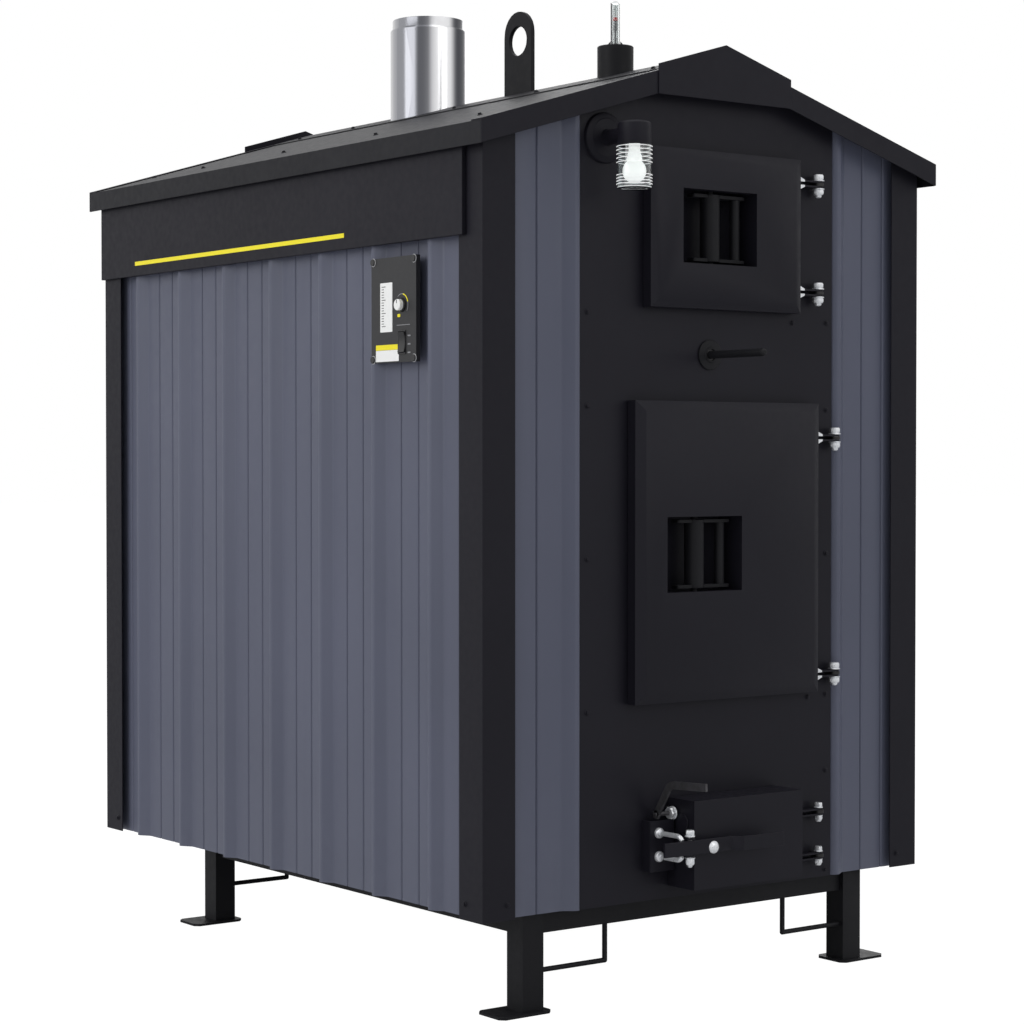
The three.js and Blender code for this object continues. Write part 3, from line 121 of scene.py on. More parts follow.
def tube(path, radius, up=(0, 0, 1), sides=16, closed=False):
    # centre + radius (side cos a + lift sin a), square to the path; radius may vary from point to point
    path = np.asarray(path, float)
    if not closed:  # a point of no radius closes each end
        path = np.concatenate([path[:1], path, path[-1:]])
    radius = np.broadcast_to(radius, len(path) - (0 if closed else 2)).astype(float)
    if not closed:
        radius = np.concatenate([[0], radius, [0]])
    step = np.roll(path, -1, 0) - np.roll(path, 1, 0)
    if not closed:
        step[0], step[1] = path[2] - path[1], path[2] - path[1]
        step[-1], step[-2] = path[-2] - path[-3], path[-2] - path[-3]
    step /= np.linalg.norm(step, axis=1, keepdims=True)
    side = np.cross(step, up)
    side /= np.linalg.norm(side, axis=1, keepdims=True)
    lift = np.cross(side, step)
    angle = np.linspace(0, 2 * np.pi, sides, endpoint=False)[None, :, None]
    ring = side[:, None] * np.cos(angle) + lift[:, None] * np.sin(angle)
    points = path[:, None] + ring * radius[:, None, None]
    return points.reshape(-1, 3), gridFaces(len(path), sides, closed, True)


def prism(outline, axis, low, high):
    # a flat outline carried straight along one axis, with both ends closed
    outline = np.asarray(outline, float)
    n = len(outline)
    a, b = np.tile(outline[:, 0], 2), np.tile(outline[:, 1], 2)
    s = np.repeat([float(low), float(high)], n)
    points = np.stack({"x": (s, a, b), "y": (a, s, b), "z": (a, b, s)}[axis], -1)
    return points, gridFaces(2, n, False, True) + [list(range(n)), list(range(2 * n - 1, n - 1, -1))]


def box(x0, x1, y0, y1, z0, z1):
    return prism([(x0, y0), (x1, y0), (x1, y1), (x0, y1)], "z", z0, z1)


def softBox(x0, x1, y0, y1, corner, axis, low, high, steps=5):
    # a rectangle with rounded corners, carried along one axis
    return prism(roundCorners([(x0, y0), (x1, y0), (x1, y1), (x0, y1)], corner, steps, True), axis, low, high)


def smooth(obj, sharp):
    # shades faces as one surface but keeps edges over the sharp angle crisp
    obj.data.polygons.foreach_set("use_smooth", np.ones(len(obj.data.polygons), bool))
    obj.data.set_sharp_from_angle(angle=np.radians(sharp))


def finishMesh(obj, sharp):
    # joins doubled points and turns the faces outwards
    work = bmesh.new()
    work.from_mesh(obj.data)
    bmesh.ops.remove_doubles(work, verts=work.verts, dist=1e-6)
    bmesh.ops.recalc_face_normals(work, faces=work.faces)
    work.to_mesh(obj.data)
    work.free()
    smooth(obj, sharp)


def addPiece(name, shape, material, body="house", replaced=(), bevel=0.0, sharp=35):
    points, faces = shape
    world = (points + np.array([0, house["shiftY"], 0])) * 0.001
    mesh = bpy.data.meshes.new(name)
    mesh.from_pydata(world.tolist(), [], faces)
    obj = bpy.data.objects.new(name, mesh)
    boiler.objects.link(obj)
    finishMesh(obj, sharp)
    mesh.materials.append(material)
    if bevel:
        softenEdges(obj, bevel)
    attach(obj, body)
    if replaced:
        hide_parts(*replaced)
    return obj


def softenEdges(obj, width):
    mod = obj.modifiers.new("edges", "BEVEL")
    mod.width, mod.segments, mod.limit_method = width * 0.001, 2, "ANGLE"
    mod.angle_limit, mod.harden_normals = np.radians(40), True


def softenNode(name, width, material, body="house"):
    # a merged copy of a solid, its flat areas made single faces, stands for it with broken edges
    obj = bpy.data.objects.new(name + "_finished", nodes[name].data.copy())
    boiler.objects.link(obj)
    work = bmesh.new()
    work.from_mesh(obj.data)
    bmesh.ops.remove_doubles(work, verts=work.verts, dist=2e-6)
    bmesh.ops.dissolve_limit(work, angle_limit=np.radians(1), verts=work.verts, edges=work.edges)
    work.to_mesh(obj.data)
    work.free()
    obj.data.materials.clear()
    obj.data.materials.append(material)
    smooth(obj, 32)
    softenEdges(obj, width)
    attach(obj, body)
    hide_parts(name)
    return obj


# Materials.
def linear(hexColor):
    # sRGB hex to the linear values that the shader takes
    c = np.array([int(hexColor[i:i + 2], 16) / 255 for i in (0, 2, 4)])
    return (*np.where(c <= 0.04045, c / 12.92, ((c + 0.055) / 1.055) ** 2.4), 1.0)


def addNode(tree, kind, settings=None, links=None):
    # a capital or a number names a socket, a small letter a property of the node
    node = tree.nodes.new(kind)
    for key, value in (settings or {}).items():
        if isinstance(key, str) and key[0].islower():
            setattr(node, key, value)
        else:
            node.inputs[key].default_value = value
    for key, source in (links or {}).items():
        tree.links.new(source, node.inputs[key])
    return node


def newMaterial(name, settings):
    # an empty tree with a shader and an output; settings go on the shader's own sockets
    material = bpy.data.materials.new(name)
    material.use_nodes = True
    tree = material.node_tree
    tree.nodes.clear()
    shader = addNode(tree, "ShaderNodeBsdfPrincipled", settings)
    addNode(tree, "ShaderNodeOutputMaterial", links={"Surface": shader.outputs[0]})
    place = addNode(tree, "ShaderNodeTexCoord").outputs["Object"]
    return material, tree, shader, place


def noise(tree, place, perMetre, detail=3, stretch=(1, 1, 1)):
    # noise whose grain is given in repeats per metre along each axis
    scaled = addNode(tree, "ShaderNodeMapping", {"Scale": stretch}, {"Vector": place}).outputs[0]
    settings = {"Scale": perMetre, "Detail": detail, "Roughness": 0.5}
    return addNode(tree, "ShaderNodeTexNoise", settings, {"Vector": scaled}).outputs["Fac"]


def remap(tree, value, low, high, toLow, toHigh):
    settings = {"From Min": low, "From Max": high, "To Min": toLow, "To Max": toHigh}
    return addNode(tree, "ShaderNodeMapRange", settings, {"Value": value}).outputs[0]


def blendColors(tree, amount, first, second):
    # colours are given as values or as sockets
    node = addNode(tree, "ShaderNodeMix", {"data_type": "RGBA"}, {0: amount})
    for index, color in ((6, first), (7, second)):
        if isinstance(color, tuple):
            node.inputs[index].default_value = color
        else:
            tree.links.new(color, node.inputs[index])
    return node.outputs[2]


def bump(tree, shader, layers):
    # each layer is a height socket and its depth in metres, laid one on another
    last = None
    for height, depth in layers:
        links = {"Height": height} if last is None else {"Height": height, "Normal": last}
        last = addNode(tree, "ShaderNodeBump", {"Strength": 1.0, "Distance": depth}, links).outputs[0]
    tree.links.new(last, shader.inputs["Normal"])


# Coil-painted steel sheet: a baked polyester film, smooth and half glossy, with slight waves in the flats.
def paintedSheet(name, color, streak, dust):
    material, tree, shader, place = newMaterial(name, {"Metallic": 0.0, "IOR": 1.5, "Specular IOR Level": 0.3})
    patches = noise(tree, place, 1.6, 2)
    runs = noise(tree, place, 14, 3, (1, 1, 0.05))
    grime = noise(tree, place, 35, 4)
    base = blendColors(tree, remap(tree, patches, 0.35, 0.65, 0, 1), linear(color), linear(streak))
    washed = blendColors(tree, remap(tree, runs, 0.5, 0.8, 0, 0.22), base, linear(dust))
    low = addNode(tree, "ShaderNodeSeparateXYZ", links={"Vector": place}).outputs["Z"]
    splash = addNode(tree, "ShaderNodeMath", {"operation": "MULTIPLY"},
                     {0: remap(tree, low, 0.23, 0.5, 0.32, 0), 1: grime}).outputs[0]
    tree.links.new(blendColors(tree, splash, washed, linear(dust)), shader.inputs["Base Color"])
    tree.links.new(remap(tree, grime, 0.3, 0.7, 0.36, 0.46), shader.inputs["Roughness"])
    # waves about 0.4 m long and 0.3 mm deep, and a film texture drawn at 3 mm so that it shows
    bump(tree, shader, [(noise(tree, place, 2.5, 1), 0.0012), (noise(tree, place, 330, 2), 0.00002)])
    return material


# Powder-coated steel: baked on in one coat, a fine orange peel that softens its gloss.
def powderCoat(name, color, light, rough=0.42, grain=260, depth=0.00005):
    material, tree, shader, place = newMaterial(name, {"Metallic": 0.0, "IOR": 1.5, "Specular IOR Level": 0.14})
    patches = noise(tree, place, 3, 3)
    specks = noise(tree, place, 60, 4)
    base = blendColors(tree, remap(tree, patches, 0.35, 0.7, 0, 1), linear(color), linear(light))
    tree.links.new(blendColors(tree, remap(tree, specks, 0.62, 0.8, 0, 0.25), base, linear(light)),
                   shader.inputs["Base Color"])
    tree.links.new(remap(tree, specks, 0.3, 0.7, rough - 0.05, rough + 0.06), shader.inputs["Roughness"])
    bump(tree, shader, [(noise(tree, place, 2.0, 1), 0.0008), (noise(tree, place, grain, 2), depth)])
    return material


# Plated or bare metal: colour from the metal itself, roughness in soft blotches.
def bareMetal(name, color, dark, low, high, perMetre=90, metal=1.0):
    material, tree, shader, place = newMaterial(name, {"Metallic": metal})
    blotch = noise(tree, place, perMetre, 4)
    tree.links.new(blendColors(tree, remap(tree, blotch, 0.35, 0.75, 0, 1), linear(color), linear(dark)),
                   shader.inputs["Base Color"])
    tree.links.new(remap(tree, blotch, 0.3, 0.7, low, high), shader.inputs["Roughness"])
    bump(tree, shader, [(noise(tree, place, perMetre * 4, 3), 0.00002)])
    return material


# the pipe's axis, a shallow fold in it (metres, radians) and the painted reflection tone at each degree round it: light
# and dark bands of painted highlight and painted shade fixed to the metal
pipeReflections = {
    "axisY": 0.348425, "foldZ": 2.25, "foldStart": 2.44, "foldEnd": 2.55, "foldSlope": 1.9, "foldReflection": "808186",
    "tones": [(-180, "94959A"), (-165, "B2B2B5"), (-158, "C4C4C7"), (-140, "8C8D91"), (-120, "DCDCDE"),
              (-95, "CACACD"), (-75, "6C6D71"), (-55, "77787C"), (-40, "D2D2D5"), (-20, "DCDCDE"), (5, "B4B5B8"),
              (22, "4A4B50"), (42, "3C3D42"), (72, "404146"), (80, "545559"), (87, "D8D8DA"), (92, "E2E2E4"),
              (112, "E2E2E4"), (119, "C9C9CC"), (125, "606166"), (141, "54555A"), (147, "85868B"), (160, "8F9095")],
}


# Stainless tube with painted reflections: upright soft bands of painted highlight and painted shade, by the angle round
# the pipe.
def reflectionPaintedSteel(name):
    material, tree, shader, place = newMaterial(name, {"Metallic": 1.0})
    parts = addNode(tree, "ShaderNodeSeparateXYZ", links={"Vector": place})

    def math(operation, constants, links):
        return addNode(tree, "ShaderNodeMath", {"operation": operation, **constants}, links).outputs[0]

    across = math("SUBTRACT", {0: pipeReflections["axisY"]}, {1: parts.outputs["Y"]})
    turn = math("ARCTAN2", {}, {0: across, 1: parts.outputs["X"]})
    bands = addNode(tree, "ShaderNodeValToRGB", links={"Fac": remap(tree, turn, -np.pi, np.pi, 0, 1)})
    ramp = bands.color_ramp
    ramp.interpolation = "B_SPLINE"
    while len(ramp.elements) < len(pipeReflections["tones"]):
        ramp.elements.new(0.5)
    for stop, (degrees, color) in zip(ramp.elements, pipeReflections["tones"]):
        stop.position, stop.color = (degrees + 180) / 360, linear(color)
    # the fold's painted reflection tone lies between the angles foldStart and foldEnd + foldSlope |z - foldZ|
    away = math("ABSOLUTE", {}, {0: math("SUBTRACT", {1: pipeReflections["foldZ"]}, {0: parts.outputs["Z"]})})
    fold = math("MULTIPLY_ADD", {1: pipeReflections["foldSlope"], 2: pipeReflections["foldEnd"]}, {0: away})
    under = math("SUBTRACT", {}, {0: fold, 1: turn})
    past = math("MINIMUM", {}, {0: remap(tree, under, 0, 0.015, 0, 1),
                                1: remap(tree, turn, pipeReflections["foldStart"], pipeReflections["foldStart"] + 0.06, 0, 1)})
    toned = blendColors(tree, past, bands.outputs[0], linear(pipeReflections["foldReflection"]))
    tree.links.new(toned, shader.inputs["Base Color"])
    # polishing lines about 25 mm apart round the pipe and drawn out along it
    grain = noise(tree, place, 40, 3, (1, 1, 0.03))
    tree.links.new(remap(tree, grain, 0.3, 0.7, 0.16, 0.24), shader.inputs["Roughness"])
    bump(tree, shader, [(grain, 0.00001)])
    return material


# Hot-rolled plate inside the boiler: blue-grey mill scale with thin rust where it was handled.
def rolledPlate(name, scale, rust, share=0.62):
    material, tree, shader, place = newMaterial(name, {"IOR": 1.5})
    patches = noise(tree, place, 7, 6)
    stain = remap(tree, patches, share - 0.1, share + 0.1, 0, 0.8)
    tree.links.new(blendColors(tree, stain, linear(scale), linear(rust)), shader.inputs["Base Color"])
    tree.links.new(remap(tree, stain, 0, 0.8, 0.6, 0.15), shader.inputs["Metallic"])
    tree.links.new(remap(tree, stain, 0, 0.8, 0.45, 0.8), shader.inputs["Roughness"])
    bump(tree, shader, [(noise(tree, place, 60, 5), 0.0003)])
    return material


# Moulded plastic: one colour all through, a faint spark-eroded grain.
def mouldedPlastic(name, color, rough, grain=900):
    material, tree, shader, place = newMaterial(name, {"Base Color": linear(color), "IOR": 1.49})
    speck = noise(tree, place, grain, 2)
    tree.links.new(remap(tree, speck, 0.3, 0.7, rough - 0.04, rough + 0.04), shader.inputs["Roughness"])
    bump(tree, shader, [(speck, 0.00001)])
    return material


# Glass-fibre rope: twisted off-white yarns that catch soot.
def fibreRope(name):
    material, tree, shader, place = newMaterial(name, {"IOR": 1.5, "Sheen Weight": 0.3})
    settings = {"wave_type": "BANDS", "bands_direction": "DIAGONAL", "Scale": 60, "Distortion": 2.0, "Detail": 2}
    yarn = addNode(tree, "ShaderNodeTexWave", settings, {"Vector": place}).outputs["Fac"]
    soot = noise(tree, place, 25, 4)
    tree.links.new(blendColors(tree, remap(tree, soot, 0.5, 0.75, 0, 0.7), linear("CFCABB"), linear("57524A")),
                   shader.inputs["Base Color"])
    shader.inputs["Roughness"].default_value = 0.95
    bump(tree, shader, [(yarn, 0.0008)])
    return material


# Clear pressed glass: soda lime, a little green in its thickness.
def clearGlass(name, tint, clear=1.0, rough=0.0):
    material, tree, shader, place = newMaterial(name, {"Base Color": linear(tint), "IOR": 1.5,
                                                       "Transmission Weight": clear, "Metallic": 0.0})
    wave = noise(tree, place, 40, 2)
    tree.links.new(remap(tree, wave, 0.3, 0.7, rough, rough + 0.02), shader.inputs["Roughness"])
    bump(tree, shader, [(wave, 0.00004)])
    return material


# Mineral blanket with a foil face, crumpled by hand.
def foilBlanket(name):
    material, tree, shader, place = newMaterial(name, {"Metallic": 0.7})
    fold = addNode(tree, "ShaderNodeTexVoronoi", {"Scale": 14.0}, {"Vector": place}).outputs["Distance"]
    tree.links.new(blendColors(tree, fold, linear("C9C6B4"), linear("8E8C80")), shader.inputs["Base Color"])
    tree.links.new(remap(tree, fold, 0, 0.6, 0.3, 0.55), shader.inputs["Roughness"])
    bump(tree, shader, [(fold, 0.004)])
    return material


greySheet = paintedSheet("coil_painted_sheet_grey", "585B6B", "5C5F70", "6C6F7D")
blackCoat = powderCoat("powder_coat_black", "1B1A21", "1E1D24")
trimCoat = powderCoat("powder_coat_trim", "1A1920", "1D1C23", 0.5)
roofCoat = powderCoat("painted_roof_black", "1C1C20", "222226", 0.52, 200)
frameCoat = powderCoat("brushed_enamel_frame", "19191C", "1E1E21", 0.5, 120, 0.0001)
castBlack = powderCoat("cast_black_fittings", "17171A", "1E1E21", 0.48, 90, 0.0001)
zinc = bareMetal("zinc_plate", "F4F5F7", "D3D6DB", 0.25, 0.4, 120, metal=0.55)
# stainless with painted reflections: bright and dark bands painted round the chimney
stainless = reflectionPaintedSteel("stainless_painted_reflections")
leverSteel = bareMetal("dark_steel_bar", "4E4D50", "39383A", 0.42, 0.55, 60, metal=0.6)
plateSteel = rolledPlate("hot_rolled_plate", "5E6064", "7A4E33")
sootedPlate = rolledPlate("sooted_plate", "2E2D2E", "54392A", 0.7)
castIron = rolledPlate("cast_iron_grate", "3B3A39", "6B4630", 0.66)
ropeSeal = fibreRope("glass_fibre_rope")
jarGlass = clearGlass("pressed_clear_glass", "F4F8F8")
# white, glowing glass for the jar's rings: a painted highlight
ringHighlightGlass = clearGlass("ring_glass_painted_highlight", "FFFFFF", 0.5, 0.45)
bulbGlass = mouldedPlastic("opal_bulb_glass", "F7F7F2", 0.22, 60)
for lit, glow in ((bulbGlass, 0.5), (ringHighlightGlass, 0.24)):
    # the bulb is on, and the jar's rings glow as a painted highlight, though they are no lamp
    shader = lit.node_tree.nodes["Principled BSDF"]
    shader.inputs["Emission Color"].default_value = linear("FFFFFF")
    shader.inputs["Emission Strength"].default_value = glow
blackPlastic = mouldedPlastic("abs_black", "141416", 0.35)
darkPlastic = mouldedPlastic("abs_dark_grey", "55565A", 0.4)
panelFoil = mouldedPlastic("polyester_front_foil", "19191C", 0.5, 300)
whitePlastic = mouldedPlastic("abs_white", "FCFCFA", 0.3)
whitePrint = mouldedPlastic("screen_print_white", "FCFCFA", 0.45, 200)
rimPrint = mouldedPlastic("screen_print_pale", "C4C4C6", 0.45, 200)
greyPrint = mouldedPlastic("screen_print_grey", "8D8D90", 0.45, 200)
yellowPrint = mouldedPlastic("vinyl_yellow", "FFEE06", 0.4, 200)
redPlastic = mouldedPlastic("float_marker_red", "C4151E", 0.35)
blanket = foilBlanket("foil_faced_blanket")
print("materials made")

# Ribbed wall sheets: a bent line carried up the wall to the slope of the roof.

ribs = {"height": 19.0, "side": 27.0, "top": 10.0, "pitch": 228.6, "thickness": 2.0, "grooveDepth": 5.5,
        "grooveWidth": 6.0, "groovePlaces": (121.5, 191.0), "firstFoot": 733.4, "bend": 5.0, "share": 0.22,
        "xSheet": 644.45, "ySheet": 855.85, "frontCentre": 403.0, "leftShift": 10.0, "rightShift": 5.0,
        "sideEnd": 850.0, "endEnd": 638.0, "panelLeft": -395.5, "panelRight": 383.5, "underRoof": 3.5}


def sheetLine(start, end, feet, grooves):
    # the height of the sheet over its base line: ribs as trapeziums, grooves as small vees, from start down to end
    reach = 2 * ribs["side"] + ribs["top"]
    rib = np.array([(0, 0), (-ribs["side"], ribs["height"]), (ribs["side"] - reach, ribs["height"]), (-reach, 0)])
    half = ribs["grooveWidth"] / 2
    vee = np.array([(half, 0), (0, -ribs["grooveDepth"]), (-half, 0)])
    marks = [rib + (f, 0) for f in feet] + [vee + (g, 0) for g in grooves]
    line = np.concatenate([[(3000, 0), (-3000, 0)], *marks])
    line = line[np.argsort(-line[:, 0], kind="stable")]

    def heightAt(v):
        return np.interp(v, line[::-1, 0], line[::-1, 1])

    inner = line[(line[:, 0] < start) & (line[:, 0] > end)]
    line = np.concatenate([[(start, heightAt(start))], inner, [(end, heightAt(end))]])
    return roundCorners(line, ribs["bend"], share=ribs["share"])


def ribbedSheet(line, side, alongY):
    # four edges of the sheet, outer and inner at the bottom and at the roof, walked along the bent line
    base = ribs["xSheet"] if alongY else ribs["ySheet"]
    outer, inner = side * (base + line[:, 1]), side * (base + line[:, 1] - ribs["thickness"])

    def edge(across, top):
        x, y = (across, line[:, 0]) if alongY else (line[:, 0], across)
        z = roofTop(x) - ribs["underRoof"] if top else np.full(len(line), house["bottom"])
        return np.stack([x, y, z], -1)

    points = np.stack([edge(outer, False), edge(outer, True), edge(inner, True), edge(inner, False)], 1)
    n = len(line)
    ends = [[0, 1, 2, 3], [4 * n - 1, 4 * n - 2, 4 * n - 3, 4 * n - 4]]
    return points.reshape(-1, 3), gridFaces(n, 4, False, True) + ends


order = np.arange(8)
halfRib = ribs["side"] + ribs["top"] / 2
sideFeet = ribs["firstFoot"] - ribs["pitch"] * order[:7]
sideGrooves = np.concatenate([ribs["firstFoot"] + ribs["pitch"] * (1 - order) - g for g in ribs["groovePlaces"]])
fromRib = np.array(ribs["groovePlaces"]) - halfRib
leftGrooves = -ribs["frontCentre"] - fromRib - ribs["leftShift"]
rightGrooves = ribs["frontCentre"] + fromRib + ribs["rightShift"]
rearCentres = (np.arange(5) - 2) * ribs["pitch"]
sideLine = sheetLine(ribs["sideEnd"], -ribs["sideEnd"], sideFeet, sideGrooves)
leftLine = sheetLine(ribs["panelLeft"], -ribs["endEnd"], [-ribs["frontCentre"] + halfRib], leftGrooves)
rightLine = sheetLine(ribs["endEnd"], ribs["panelRight"], [ribs["frontCentre"] + halfRib], rightGrooves)
rearLine = sheetLine(ribs["endEnd"], -ribs["endEnd"], rearCentres + halfRib, (rearCentres[:, None] - fromRib).ravel())
for name, node, line, side, alongY in (
        ("wall_sheet_left", "left_wall_sheet", sideLine, -1, True),
        ("wall_sheet_right", "right_wall_sheet", sideLine, 1, True),
        ("front_sheet_left", "front_left_sheet", leftLine, -1, False),
        ("front_sheet_right", "front_right_sheet", rightLine, -1, False),
        ("rear_sheet", "rear_wall_sheet", rearLine, 1, False)):
    addPiece(name, ribbedSheet(line, side, alongY), greySheet, replaced=[node], sharp=60)
print("ribbed sheets made")

# Solids kept in shape, with broken edges and their own finish.

corners = ("front_left", "front_right", "rear_left", "rear_right")
softened = {
    "front_panel": (0.8, blackCoat), "base_frame": (0.8, frameCoat), "lifting_eye": (1.5, castBlack),
    "ridge_cap": (0.8, roofCoat), "roof_sheet_left": (0.8, roofCoat), "roof_sheet_right": (0.8, roofCoat),
    "rake_trim_front": (1.0, trimCoat), "rake_trim_rear": (1.0, trimCoat), "peak_plate_front": (0.8, trimCoat),
    "peak_plate_rear": (0.8, trimCoat), "side_band_left": (1.5, trimCoat), "side_band_right": (1.5, trimCoat),
    **{"leg_" + c: (2.0, frameCoat) for c in corners}, **{"corner_trim_" + c: (1.2, trimCoat) for c in corners},
}
for name, (width, finish) in softened.items():
    softenNode(name, width, finish)
for name in ("upper", "main", "ash"):
    softenNode(name + "_door", 1.6, blackCoat, name + "_door")
softenNode("ash_latch", 1.2, blackCoat, "ash_latch")

kept = {"water_tank": plateSteel, "firebox": sootedPlate, "heat_exchanger": sootedPlate, "grate": castIron,
        "ash_pan": plateSteel, "insulation": blanket, "control_plate": panelFoil}
for name, finish in kept.items():
    for slot in nodes[name].material_slots:
        slot.material = finish
print("solids finished")

# Door handles: round bars between two plates in the pocket.

handles = {"face": -910.2, "axisIn": 112.0, "depth": 38.0, "tube": 23.0, "plateBack": 60.0, "plateFront": 100.0,
           "half": 14.0, "plate": 8.0, "corner": 9.0, "inset": 7.0, "grip": 77.25, "gripRadius": 11.75, "stub": 8.0,
           "stubReach": 12.0}
pockets = {"upper": (-123.5, 1687.0, 1857.0), "main": (-170.0, 933.0, 1106.0)}


def doorHandle(left, low, high):
    # plates as rounded outlines, tube and grip as turned bars with eased ends
    x, y = left + handles["axisIn"], handles["face"] + handles["depth"]
    z0, z1 = low + handles["inset"], high - handles["inset"]

    def bar(cx, radius, a, b):
        return turned([(0, a), (radius - 1, a), (radius, a + 1), (radius, b - 1), (radius - 1, b), (0, b)],
                      "z", (cx, y, 0), 48, False)

    plates = [softBox(x - handles["plateBack"], x + handles["plateFront"], y - handles["half"], y + handles["half"],
                      handles["corner"], "z", z, z + handles["plate"]) for z in (z0, z1 - handles["plate"])]
    return joinParts(plates + [
        bar(x, handles["tube"], z0, z1), bar(x + handles["grip"], handles["gripRadius"], z0, z1),
        bar(x, handles["stub"], low - handles["stubReach"], high + handles["stubReach"])])


for name, pocket in pockets.items():
    addPiece(name + "_handle", doorHandle(*pocket), castBlack, name + "_handle", [name + "_door_handle"], 0.8)

# Rope seals: a round rope laid along the throat's rim.

seals = {"radius": 5.8, "y": -878.7, "corner": 14.0, "out": 4.0}
throats = {"upper": (-176.0, 215.0, 1618.0, 1912.0), "main": (-215.0, 269.0, 723.0, 1329.0),
           "ash": (-100.0, 164.0, 290.0, 428.0)}
for name, (x0, x1, z0, z1) in throats.items():
    x0, x1, z0, z1 = x0 - seals["out"], x1 + seals["out"], z0 - seals["out"], z1 + seals["out"]
    rim = np.array([(x0, z0), (x1, z0), (x1, z1), (x0, z1)])
    rim = roundCorners(rim, seals["corner"], 6, True)
    path = np.stack([rim[:, 0], np.full(len(rim), seals["y"]), rim[:, 1]], -1)
    addPiece(name + "_rope_seal", tube(path, seals["radius"], (0, 1, 0), 16, True), ropeSeal, name + "_door",
             [name + "_door_gasket"], sharp=80)

# Hinge bolts, and the wedges where the leaves meet the doors.

bolts = {"large": {"head": 10.9, "tall": 13.0, "washer": 14.4, "washerTall": 3.0, "nut": 11.3, "nutTall": 12.0,
                   "shank": 7.9, "stub": 8.0},
         "small": {"head": 8.3, "tall": 10.0, "washer": 10.9, "washerTall": 2.5, "nut": 8.7, "nutTall": 9.0,
                   "shank": 7.9, "stub": 6.0}}
leafReach = 8.2  # half the lug, the play and one leaf
hinges = {"upper": (318.0, 251.0, (1894.0, 1635.5), "large"), "main": (374.5, 311.0, (1289.5, 722.5), "large"),
          "ash": (323.0, 200.0, (391.0, 285.5), "small")}
hingeY = -890.2
wedge = {"near": 3.75, "far": 8.15, "reach": 14.0, "rise": 6.0, "front": -900.1, "back": -893.5}


def hexPart(x, y, flat, z0, z1):
    # a hexagon whose two ends are turned down to a cone, so only the corners are lost
    outer = flat / np.cos(np.pi / 6)
    flare = 0.27 * flat
    profile = [(0, z0), (flat * 0.97, z0), (outer, z0 + flare), (outer, z1 - flare), (flat * 0.97, z1), (0, z1)]
    return hexed(profile, flat, "z", (x, y, 0), 60)


def disc(x, y, radius, z0, z1, axis="z", edge=0.8, sides=48):
    profile = [(0, z0), (radius - edge, z0), (radius, z0 + edge), (radius, z1 - edge), (radius - edge, z1), (0, z1)]
    centre = {"z": (x, y, 0), "x": (0, x, y), "y": (x, 0, y)}[axis]
    return turned(profile, axis, centre, sides, False)


def hingeBolt(x, y, z, reach, size):
    # head and washer over the leaves, washer, nut and a domed thread end under them
    s = bolts[size]
    top, low = z + reach + 0.3, z - reach - 0.3
    nutEnd = low - s["washerTall"] - s["nutTall"]
    end = s["shank"]
    dome = [(0, nutEnd - s["stub"]), (end * 0.5, nutEnd - s["stub"] + 0.5), (end * 0.85, nutEnd - s["stub"] + 2),
            (end, nutEnd - s["stub"] + 4.5), (end, top + 1), (0, top + 1)]
    return joinParts([
        disc(x, y, s["washer"], top, top + s["washerTall"]), disc(x, y, s["washer"], low - s["washerTall"], low),
        hexPart(x, y, s["head"], top + s["washerTall"] - 0.2, top + s["washerTall"] + s["tall"]),
        hexPart(x, y, s["nut"], nutEnd, low - s["washerTall"] + 0.2),
        turned(dome, "z", (x, y, 0), 32, False)])


def weldWedge(edge, z, side):
    # a bright wedge that tapers from the door's edge along the leaf
    near, far = z + side * wedge["near"], z + side * wedge["far"]
    outline = [(edge + 0.4, near), (edge + wedge["reach"], near), (edge + wedge["reach"], far),
               (edge + 0.4, far + side * wedge["rise"])]
    return prism(outline, "y", wedge["front"], wedge["back"])


bodies = frame["record"]["behaviour"]["bodies"]
for name, (pinX, edge, levels, size) in hinges.items():
    for z, level in zip(levels, ("top", "bottom")):
        node = "%s_hinge_bolt_%s" % (name, level)
        body = next(b for b, names in bodies.items() if node in names)
        addPiece(node + "_plated", hingeBolt(pinX, hingeY, z, leafReach, size), zinc, body, [node], sharp=28)
    if name != "ash":
        wedges = joinParts([weldWedge(edge, z, s) for z in levels for s in (-1, 1)])
        addPiece(name + "_hinge_leaves", wedges, zinc, name + "_door", bevel=0.5)
print("doors dressed")

# Ash door fittings.

latch = {"x": -160.0, "y": -978.0, "low": 338.0, "high": 384.0, "buttonX": -101.0, "buttonZ": 357.0,
         "button": 14.5}
bolts["latch"] = {"head": 9.0, "tall": 12.0, "washer": 11.9, "washerTall": 3.0, "nut": 9.2, "nutTall": 14.0,
                  "shank": 5.9, "stub": 7.0}
middle = (latch["low"] + latch["high"]) / 2
addPiece("latch_bolt_plated", hingeBolt(latch["x"], latch["y"], middle, (latch["high"] - latch["low"]) / 2, "latch"),
         zinc, "ash_door", ["ash_latch_bolt"], sharp=28)
button = [(0, -992.0), (1, -992.0), (1, -993.2), (0.9, -995.4), (0.65, -997.6), (0.35, -998.8), (0, -999.2)]
button = [(share * latch["button"], y) for share, y in button]
addPiece("latch_button", turned(button, "y", (latch["buttonX"], 0, latch["buttonZ"]), 40, False), zinc, "ash_latch",
         sharp=50)

keeper = {"left": -211.0, "right": -140.0, "low": 297.0, "high": 414.0, "face": -900.0, "back": -896.0,
          "sheet": 4.0, "prongX": -187.0, "prongs": (386.0, 332.0), "radius": 5.6, "end": -978.0}
addPiece("keeper_plate", joinParts([
    box(keeper["left"], keeper["right"], keeper["face"], keeper["back"], keeper["low"], keeper["high"]),
    box(keeper["left"], keeper["left"] + keeper["sheet"], keeper["back"] - 0.5, house["panelFace"] - 0.3,
        keeper["low"], keeper["high"])]), blackCoat, replaced=["ash_keeper"], bevel=1.0)


